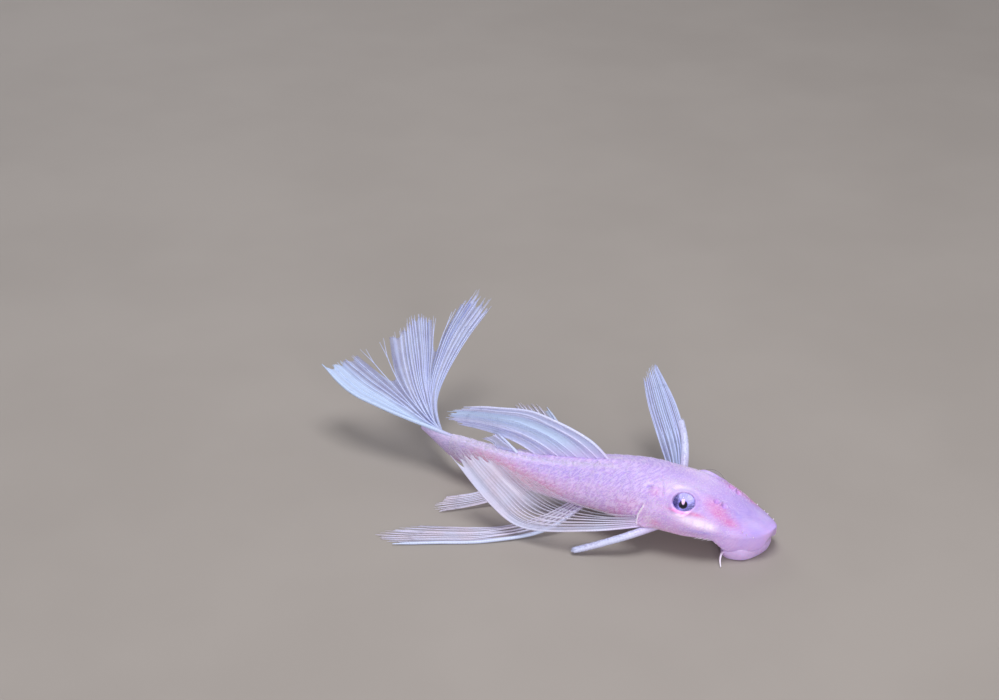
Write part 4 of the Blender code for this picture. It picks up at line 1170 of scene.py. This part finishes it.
def make_fin(name, keys, rays, ray, stout, pleat, film, band, seed, clefts=(), spine=None, tint="milky",
             veil=(0.5, 0.0, 0.0, 0.0)):
    """One fin: its clear film, its rays and, where it has one, its spine."""
    sheet = fin_sheet(keys, seed)
    make_film(name, sheet, rays, pleat, clefts, fin_finish(name + "_film", band, film, tint, veil))
    ray_finish = fin_finish(name + "_rays", band, None, tint, veil)
    make_rays(name, sheet, rays, ray, stout, pleat, clefts, seed, ray_finish)
    if spine:
        make_spine(name, spine, fin_finish(name + "_spine", band, None, "bright", veil))


# Finishes

class Nodes:
    """A material's or group's nodes, made by short calls."""

    def __init__(self, tree):
        self.tree = tree

    def add(self, kind, settings=None, **inputs):
        """One node. Its inputs go by socket name, or by number as i0, i1 and so on."""
        node = self.tree.nodes.new(kind)
        for key, value in (settings or {}).items():
            setattr(node, key, value)
        for key, value in inputs.items():
            numbered = key[0] == "i" and key[1:].isdigit()
            self.feed(node.inputs[int(key[1:]) if numbered else key.replace("_", " ")], value)
        return node

    def feed(self, socket, value):
        """A socket's input: another node's output, or a plain number or colour."""
        if isinstance(value, bpy.types.NodeSocket):
            self.tree.links.new(value, socket)
        elif socket.type == "RGBA" and len(value) == 3:
            socket.default_value = (*value, 1.0)
        else:
            socket.default_value = value

    def kept(self, name):
        """A number kept at the mesh's points."""
        return self.add("ShaderNodeAttribute", {"attribute_name": name}).outputs["Fac"]

    def math(self, operation, a, b=0.0, clamp=False):
        """A sum, product or the like of one or two numbers."""
        return self.add("ShaderNodeMath", {"operation": operation, "use_clamp": clamp}, i0=a, i1=b).outputs[0]

    def times(self, a, b):
        """The product of two numbers."""
        return self.math("MULTIPLY", a, b)

    def mix(self, share, a, b):
        """A colour between a and b."""
        node = self.add("ShaderNodeMix", {"data_type": "RGBA"})
        self.feed(node.inputs[0], share)
        self.feed(node.inputs[6], a)
        self.feed(node.inputs[7], b)
        return node.outputs[2]

    def spread(self, value, low, high, out_low=0.0, out_high=1.0):
        """The value taken smoothly from one range to another."""
        return self.add("ShaderNodeMapRange", {"interpolation_type": "SMOOTHSTEP"}, i0=value, i1=low, i2=high,
                        i3=out_low, i4=out_high).outputs[0]


def new_group(name, inputs, outputs):
    """An empty shader node group with its sockets: inputs are (name, kind, value), outputs (name, kind)."""
    group = bpy.data.node_groups.new(name, "ShaderNodeTree")
    for label, kind, value in inputs:
        socket = group.interface.new_socket(label, in_out="INPUT", socket_type="NodeSocket" + kind)
        socket.default_value = value
    for label, kind in outputs:
        group.interface.new_socket(label, in_out="OUTPUT", socket_type="NodeSocket" + kind)
    nodes = Nodes(group)
    return group, nodes, nodes.add("NodeGroupInput").outputs, nodes.add("NodeGroupOutput").inputs


def soft_mottle_group():
    """Soft uneven tone from 0 to 1."""
    group, n, given, out = new_group("soft_mottle", (("Scale", "Float", 400.0),), (("Tone", "Float"),))
    place_at = n.add("ShaderNodeTexCoord").outputs["Object"]
    broad = n.add("ShaderNodeTexNoise", Vector=place_at, Scale=given["Scale"], Detail=3.0, Roughness=0.55)
    n.feed(out["Tone"], n.spread(broad.outputs["Fac"], 0.32, 0.68))
    return group


# Grain of the skin: how far the streaks slant, and how fine they are along and round the body
GRAIN_SLANT = 0.08
GRAIN_ALONG = 2.1
GRAIN_ROUND = 0.1235


def thorn_grain_group():
    """Fine streaks that lie aslant along the body, like rows of tiny thorns: a tone and a height."""
    group, n, given, out = new_group("thorn_grain", (("Along", "Float", 0.0), ("Turn", "Float", 0.0)),
                                     (("Tone", "Float"), ("Height", "Float")))
    slant = n.math("SUBTRACT", given["Along"], n.times(given["Turn"], GRAIN_SLANT))
    at = n.add("ShaderNodeCombineXYZ", X=n.times(slant, GRAIN_ALONG), Y=n.times(given["Turn"], GRAIN_ROUND))
    noise = n.add("ShaderNodeTexNoise", Vector=at.outputs[0], Scale=1.0, Detail=1.5, Roughness=0.55)
    cells = n.add("ShaderNodeTexVoronoi", Vector=at.outputs[0], Scale=1.3)
    n.feed(out["Tone"], n.spread(noise.outputs["Fac"], 0.43, 0.60))
    rounded = n.spread(cells.outputs["Distance"], 0.0, 0.55, 1.0, 0.0)
    n.feed(out["Height"], n.math("ADD", n.times(rounded, 0.6), n.times(noise.outputs["Fac"], 0.4)))
    return group


def wet_film_group():
    """Roughness of wet skin: slick where the mask says so, with small dull spots."""
    inputs = (("Dull", "Float", 0.42), ("Slick", "Float", 0.2), ("Mask", "Float", 0.0))
    group, n, given, out = new_group("wet_film", inputs, (("Roughness", "Float"),))
    place_at = n.add("ShaderNodeTexCoord").outputs["Object"]
    spots = n.add("ShaderNodeTexNoise", Vector=place_at, Scale=900.0, Detail=2.0)
    base = n.spread(given["Mask"], 0.0, 1.0, given["Dull"], given["Slick"])
    n.feed(out["Roughness"], n.math("ADD", base, n.spread(spots.outputs["Fac"], 0.3, 0.7, -0.05, 0.06)))
    return group


def ray_joint_group():
    """Fine joints across a fin ray: 1 on a joint, with their height."""
    group, n, given, out = new_group("ray_joints", (("Length", "Float", 0.0), ("Every", "Float", 0.45)),
                                     (("Joint", "Float"), ("Height", "Float")))
    phase = n.math("DIVIDE", given["Length"], given["Every"])
    wave = n.math("ABSOLUTE", n.math("SUBTRACT", n.math("FRACT", phase), 0.5))
    joint = n.spread(wave, 0.40, 0.49)
    n.feed(out["Joint"], joint)
    n.feed(out["Height"], n.math("SUBTRACT", 1.0, joint))
    return group


def fin_tint_group():
    """Colour and density over a fin: rosy root, bright band, milky veil and clearer gaps between rays."""
    numbers = (("Along", 0.0), ("Across", 0.0), ("Gap", 0.0), ("Tone", 0.5), ("Density", 0.4),
               ("Band Middle", 0.0), ("Band Width", 0.1), ("Band Strength", 1.0),
               ("Veil Start", 0.5), ("Veil", 0.0), ("Lead", 0.0), ("Clear", 0.0))
    inputs = [(label, "Float", value) for label, value in numbers]
    inputs += [(label, "Color", (1.0, 1.0, 1.0, 1.0)) for label in ("Ray", "Film", "Bright", "Root")]
    group, n, given, out = new_group("fin_tint", inputs, (("Color", "Color"), ("Alpha", "Float")))
    off = n.math("ABSOLUTE", n.math("SUBTRACT", given["Across"], given["Band Middle"]))
    band = n.spread(n.math("DIVIDE", off, given["Band Width"]), 0.4, 1.3, 1.0, 0.0)
    band = n.times(n.times(band, given["Band Strength"]), n.spread(given["Along"], 0.0, 0.25, 0.45, 1.0))
    near_root = n.spread(given["Along"], 0.0, 0.24, 1.0, 0.0)
    veil = n.times(n.spread(n.math("SUBTRACT", given["Along"], given["Veil Start"]), 0.0, 0.22), given["Veil"])
    body = n.mix(n.math("MAXIMUM", given["Gap"], veil), given["Ray"], given["Film"])
    body = n.mix(n.times(given["Tone"], 0.3), body, given["Bright"])
    body = n.mix(band, body, given["Bright"])
    n.feed(out["Color"], n.mix(n.times(near_root, 0.75), body, given["Root"]))
    thick = n.math("ADD", given["Density"], n.times(n.math("SUBTRACT", 1.0, given["Gap"]), 0.22))
    thick = n.math("ADD", thick, n.times(band, 0.30))
    inward = n.spread(given["Across"], 0.0, 1.0, 0.45, 0.15)
    thick = n.math("ADD", thick, n.times(near_root, inward))
    thick = n.math("ADD", thick, veil)
    thick = n.math("ADD", thick, n.times(n.spread(given["Across"], 0.36, 0.06), given["Lead"]))
    thick = n.math("SUBTRACT", thick, n.spread(given["Along"], 0.8, 1.0, 0.0, 0.10), clamp=True)
    clear = n.times(n.spread(given["Across"], 0.45, 0.85), given["Clear"])
    n.feed(out["Alpha"], n.times(thick, n.math("SUBTRACT", 1.0, clear)))
    return group


GROUPS = {"soft_mottle": soft_mottle_group(), "thorn_grain": thorn_grain_group(), "wet_film": wet_film_group(),
          "ray_joints": ray_joint_group(), "fin_tint": fin_tint_group()}

# Colours of the skin, its patches, its relief and its thorns. Several are painted light: the bluer top is
# painted light from above, the cream and pale tints, the white gill edge and the streak tint are painted
# highlights, and the shade and eye rim tints are painted shade.
# Top to low side: the skin's own lilac-pink, bluer on the back as painted light from the bluish lamp above
SKIN_TOP_LIT = rgb(206, 177, 243)
SKIN_SIDE = rgb(216, 178, 232)
SKIN_LOW = rgb(226, 176, 218)
# Near-white painted highlight of the cream patches
CREAM_HIGHLIGHT = rgb(246, 226, 248)
BLUSH = rgb(230, 112, 172)
PEACH = rgb(240, 154, 156)
# Dark violet line painted round the eye's opening: painted shade of the rim
EYE_RIM_SHADE = rgb(104, 82, 136)
ROOT_LILAC = rgb(188, 182, 222)
# Painted shade of the ground between the slanting streaks
SHADE = rgb(170, 132, 206)
# Painted highlight on the gill cover's wet edge
EDGE_HIGHLIGHT = rgb(255, 248, 255)
# Painted glint of the slanting streaks on the rows of thorns
STREAK_GLINT = rgb(238, 216, 255)
VIOLET = rgb(164, 146, 236)
# Pale: the painted highlight of the pale patches, and the paler rims of the plates' rear edges
PALE = rgb(236, 226, 255)
FLESH_GLOW = (1.0, 0.42, 0.45)
THORN_WHITE = rgb(250, 244, 255)

# Tints laid over the skin in turn, with their strengths; the cream and pale tints are painted highlights and
# the eye rim tint is painted shade.
SKIN_TINTS = (
    ("peach", PEACH, 0.85), ("fin_root", ROOT_LILAC, 0.85), ("violet", VIOLET, 0.8), ("pale", PALE, 0.9),
    ("cream", CREAM_HIGHLIGHT, 1.0), ("blush", BLUSH, 0.85), ("eye_margin", EYE_RIM_SHADE, 0.85),
)


def new_material(name):
    """A material, its nodes and its shader."""
    made = bpy.data.materials.new(name)
    made.use_nodes = True
    nodes = Nodes(made.node_tree)
    return made, nodes, made.node_tree.nodes["Principled BSDF"]


def placed(nodes, group, **inputs):
    """A shared group placed in a material with this material's own values."""
    node = nodes.add("ShaderNodeGroup")
    node.node_tree = GROUPS[group]
    for key, value in inputs.items():
        nodes.feed(node.inputs[key.replace("_", " ")], value)
    return node.outputs


def settle(shader, **amounts):
    """Plain numbers and colours set on the shader's own sockets."""
    for key, amount in amounts.items():
        shader.inputs[key.replace("_", " ")].default_value = amount


def paint(nodes, shader, colour):
    """The colour of a surface."""
    nodes.feed(shader.inputs["Base Color"], colour)


def wet(nodes, shader, dull, slick, mask):
    """The roughness of a wet surface."""
    rough = placed(nodes, "wet_film", Dull=dull, Slick=slick, Mask=mask)["Roughness"]
    nodes.feed(shader.inputs["Roughness"], rough)


def bumped(nodes, shader, height, distance, strength=0.6):
    """Fine relief by bump, distance in millimetres."""
    bump = nodes.add("ShaderNodeBump", Strength=strength, Distance=distance * MM, Height=height)
    nodes.feed(shader.inputs["Normal"], bump.outputs[0])


def body_colour(nodes):
    """The skin's colour from its patches, with its painted light and shade, shared by the skin and the thorns
    on it.
    """
    # Bluer on top and pinker down the side: the skin's own tones, with painted bluish light from above on the
    # back
    down = nodes.kept("down_side")
    colour = nodes.mix(nodes.spread(down, 0.0, 0.55), SKIN_TOP_LIT, SKIN_SIDE)
    colour = nodes.mix(nodes.spread(down, 0.5, 1.0), colour, SKIN_LOW)
    mottle = placed(nodes, "soft_mottle", Scale=330.0)["Tone"]
    colour = nodes.mix(nodes.times(mottle, 0.22), colour, VIOLET)
    # A white line painted along the gill cover's edge: painted highlight
    edge = nodes.spread(nodes.kept("gill_edge"), 0.0, 0.6)
    for mask, tint, strength in SKIN_TINTS:
        colour = nodes.mix(nodes.times(nodes.kept(mask), strength), colour, tint)
    return nodes.mix(edge, colour, EDGE_HIGHLIGHT)


def skin_finish():
    """Wet pink skin over plates: soft patches, slanting streaks painted as glints over painted shade, and a
    glossy film.
    """
    made, nodes, shader = new_material("pink_skin")
    colour = body_colour(nodes)
    grain = placed(nodes, "thorn_grain", Along=nodes.kept("body_s"), Turn=nodes.kept("body_turn"))
    clothed = nodes.math("SUBTRACT", 1.0, nodes.kept("bare"))
    body = nodes.spread(nodes.kept("body_s"), 17.0, 24.0, 0.24, 0.78)
    shown = nodes.times(body, nodes.spread(clothed, 0.0, 1.0, 0.6, 1.0))
    # Grain of the thorn rows: painted glints over painted shade, stronger on the body than on the head
    shaded = nodes.mix(nodes.times(shown, 0.34), colour, SHADE)
    colour = nodes.mix(nodes.times(grain["Tone"], shown), shaded, nodes.mix(0.65, colour, STREAK_GLINT))
    colour = nodes.mix(nodes.times(nodes.kept("plate_edge"), 0.2), colour, PALE)
    paint(nodes, shader, colour)
    wet(nodes, shader, 0.43, 0.35, nodes.math("ADD", nodes.kept("cream"), nodes.kept("bare"), clamp=True))
    settle(shader, Subsurface_Weight=0.22, Subsurface_Radius=FLESH_GLOW, Subsurface_Scale=0.9 * MM,
           Coat_Weight=0.15, Coat_Roughness=0.18)
    height = nodes.times(grain["Height"], nodes.spread(clothed, 0.0, 1.0, 0.15, 1.0))
    bumped(nodes, shader, height, 0.09)
    return made


def thorn_finish():
    """Pearly thorns in the colour of the skin under them, a little paler."""
    made, nodes, shader = new_material("pearly_thorns")
    paint(nodes, shader, nodes.mix(0.6, body_colour(nodes), THORN_WHITE))
    settle(shader, Roughness=0.34)
    return made


def horn_finish():
    """Pale horn that whitens to its tips: hooks, buds, feelers and teeth."""
    made, nodes, shader = new_material("pale_horn")
    mottle = placed(nodes, "soft_mottle", Scale=700.0)["Tone"]
    base = nodes.mix(nodes.times(mottle, 0.4), rgb(224, 196, 236), rgb(206, 176, 222))
    paint(nodes, shader, nodes.mix(nodes.kept("tip"), base, THORN_WHITE))
    wet(nodes, shader, 0.36, 0.2, 0.4)
    return made


def lip_finish():
    """Soft lilac lip flesh with paler papillae and a dark inside."""
    made, nodes, shader = new_material("lip_flesh")
    mottle = placed(nodes, "soft_mottle", Scale=500.0)["Tone"]
    colour = nodes.mix(mottle, rgb(216, 188, 244), rgb(204, 172, 232))
    colour = nodes.mix(nodes.times(nodes.kept("wart"), 0.35), colour, rgb(226, 200, 232))
    paint(nodes, shader, nodes.mix(nodes.kept("inner"), colour, rgb(150, 84, 104)))
    wet(nodes, shader, 0.4, 0.22, 0.3)
    settle(shader, Subsurface_Weight=0.2, Subsurface_Radius=FLESH_GLOW, Subsurface_Scale=0.7 * MM)
    bumped(nodes, shader, mottle, 0.05)
    return made


def globe_finish():
    """Silver-blue iris with darker patches and fine streaks, paler towards its upper front as a painted
    highlight, round a black pupil.
    """
    made, nodes, shader = new_material("silver_iris")
    x = nodes.kept("iris_x")
    y = nodes.kept("iris_y")
    reach = nodes.kept("iris_reach")
    turn = nodes.math("ARCTAN2", y, x)
    at = nodes.add("ShaderNodeCombineXYZ", X=nodes.times(turn, 7.0), Y=nodes.times(reach, 1.4))
    noise = nodes.add("ShaderNodeTexNoise", Vector=at.outputs[0], Scale=1.8, Detail=3.0, Roughness=0.6)
    streaks = noise.outputs["Fac"]
    colour = nodes.mix(nodes.spread(streaks, 0.36, 0.66), rgb(78, 70, 142), rgb(142, 136, 206))
    # Painted highlight: the iris paler towards its upper front
    shine = nodes.times(nodes.spread(nodes.math("ADD", nodes.times(x, 0.5), y), 0.2, 1.3), 0.55)
    colour = nodes.mix(shine, colour, rgb(170, 166, 226))
    rear = nodes.times(nodes.spread(x, -0.5, -1.2), nodes.spread(streaks, 0.85, 0.45))
    low = nodes.times(nodes.spread(nodes.math("SUBTRACT", x, y), 0.75, 1.35), nodes.spread(streaks, 0.68, 0.40))
    dark = nodes.times(nodes.math("MAXIMUM", rear, low), 0.92)
    colour = nodes.mix(dark, colour, rgb(34, 24, 78))
    colour = nodes.mix(nodes.spread(nodes.times(y, -1.0), 1.1, 1.6), colour, rgb(128, 118, 142))
    colour = nodes.mix(nodes.kept("lobe"), colour, rgb(216, 178, 214))
    paint(nodes, shader, nodes.mix(nodes.kept("pupil"), colour, rgb(10, 4, 20)))
    wet(nodes, shader, 0.34, 0.2, 0.4)
    settle(shader, Specular_IOR_Level=0.2, Coat_Weight=0.22, Coat_Roughness=0.04)
    bumped(nodes, shader, streaks, 0.05)
    return made


def cornea_finish():
    """Clear, wet cornea."""
    made, _, shader = new_material("clear_cornea")
    settle(shader, Base_Color=(0.97, 0.97, 1.0, 1.0), Transmission_Weight=1.0, Roughness=0.02, IOR=1.05)
    return made


# Colours of a fin's rays and of its membrane. The cool membrane is lilac-blue and made darker than its rays, so
# that the floor seen through it looks shaded between them: partly its own tint, partly painted shade.
TINTS = {
    "cool": (rgb(196, 203, 242), rgb(116, 126, 198)),
    "bright": (rgb(218, 218, 250), rgb(204, 210, 252)),
    "milky": (rgb(222, 212, 232), rgb(206, 194, 216)),
}


def fin_finish(name, band, density, tint_name, veil):
    """A fin's clear membrane where density is given, or else its pale rays."""
    made, nodes, shader = new_material(name)
    middle, width, strength = band
    ray_colour, film_colour = TINTS[tint_name]
    veil_start, veil_strength, lead, clear = veil
    mottle = placed(nodes, "soft_mottle", Scale=260.0)["Tone"]
    tint = placed(nodes, "fin_tint", Along=nodes.kept("along"), Across=nodes.kept("across"),
                  Gap=nodes.kept("gap"), Tone=mottle, Band_Middle=middle, Band_Width=width,
                  Band_Strength=strength, Ray=ray_colour, Film=film_colour, Bright=rgb(204, 222, 255),
                  Root=rgb(206, 180, 226), Density=density or 1.0, Veil_Start=veil_start, Veil=veil_strength,
                  Lead=lead, Clear=clear)
    nodes.feed(shader.inputs["Alpha"], tint["Alpha"])
    if density is None:
        joints = placed(nodes, "ray_joints", Length=nodes.kept("length"), Every=0.5)
        paint(nodes, shader, nodes.mix(nodes.times(joints["Joint"], 0.3), tint["Color"], rgb(168, 160, 200)))
        bumped(nodes, shader, joints["Height"], 0.04)
    else:
        paint(nodes, shader, tint["Color"])
        bumped(nodes, shader, mottle, 0.05, 0.3)
    wet(nodes, shader, 0.34, 0.2, 0.4)
    return made


# Stage

# The camera's place in millimetres from the snout, its turn and its look down
CAMERA_AT = (64.8, -297.06, 209.15)
CAMERA_TURN = math.radians(22.0)
CAMERA_DOWN = math.radians(29.0)
CAMERA_LENS = 70.0


def make_camera():
    """The camera that looks from the fish's right, in front and above."""
    lens = bpy.data.cameras.new("camera")
    lens.lens = CAMERA_LENS
    lens.sensor_width = 36.0
    lens.clip_start = 0.01
    camera = in_scene("camera", lens)
    camera.location = (np.array(CAMERA_AT) + SNOUT) * MM
    camera.rotation_euler = (math.pi / 2.0 - CAMERA_DOWN, 0.0, CAMERA_TURN)
    bpy.context.scene.camera = camera


def make_floor():
    """A plain pale floor."""
    bpy.ops.mesh.primitive_plane_add(size=3.0, location=(0.0, 0.0, 0.0))
    floor = bpy.context.object
    floor.name = "floor"
    made, nodes, shader = new_material("pale_floor")
    mottle = placed(nodes, "soft_mottle", Scale=18.0)["Tone"]
    paint(nodes, shader, nodes.mix(mottle, rgb(158, 150, 143), rgb(162, 154, 147)))
    settle(shader, Roughness=0.75)
    floor.data.materials.append(made)


def make_light(name, place_at, size, power, colour):
    """A soft square light that faces the fish."""
    data = bpy.data.lights.new(name, "AREA")
    data.shape = "SQUARE"
    data.size = size
    data.energy = power
    data.color = colour
    lamp = in_scene(name, data)
    lamp.location = place_at
    lamp.rotation_mode = "QUATERNION"
    lamp.rotation_quaternion = Vector(place_at).to_track_quat("Z", "Y")


# Studio lights: place in metres, size, power and colour
LIGHTS = {
    "top_light": ((0.03, -0.02, 0.52), 0.26, 1.65, (0.96, 0.97, 1.0)),
    "front_light": ((0.26, -0.46, 0.20), 0.24, 1.5, (1.0, 0.98, 0.99)),
    "far_light": ((-0.40, 0.42, 0.30), 0.3, 0.55, (0.93, 0.95, 1.0)),
}


def make_lights():
    """The studio's lights and its soft surroundings."""
    for name, light in LIGHTS.items():
        make_light(name, *light)
    world = bpy.data.worlds.new("studio")
    bpy.context.scene.world = world
    world.use_nodes = True
    back = world.node_tree.nodes["Background"]
    back.inputs["Color"].default_value = (0.92, 0.93, 1.0, 1.0)
    back.inputs["Strength"].default_value = 0.34


def main():
    """The whole model on its floor."""
    make_camera()
    make_floor()
    make_lights()
    horn = horn_finish()
    make_skin(skin_finish())
    make_plate_thorns(thorn_finish())
    make_cheek_thorns(horn)
    make_snout_buds(horn)
    eyes = {"globe": globe_finish(), "cornea": cornea_finish()}
    make_eye("right", -1, eyes)
    make_eye("left", 1, eyes)
    make_lips(lip_finish())
    make_barbels(horn)
    make_teeth(horn)
    for name, shape in FINS.items():
        make_fin(name, **shape)
    bpy.context.scene.view_settings.view_transform = "Standard"


main()
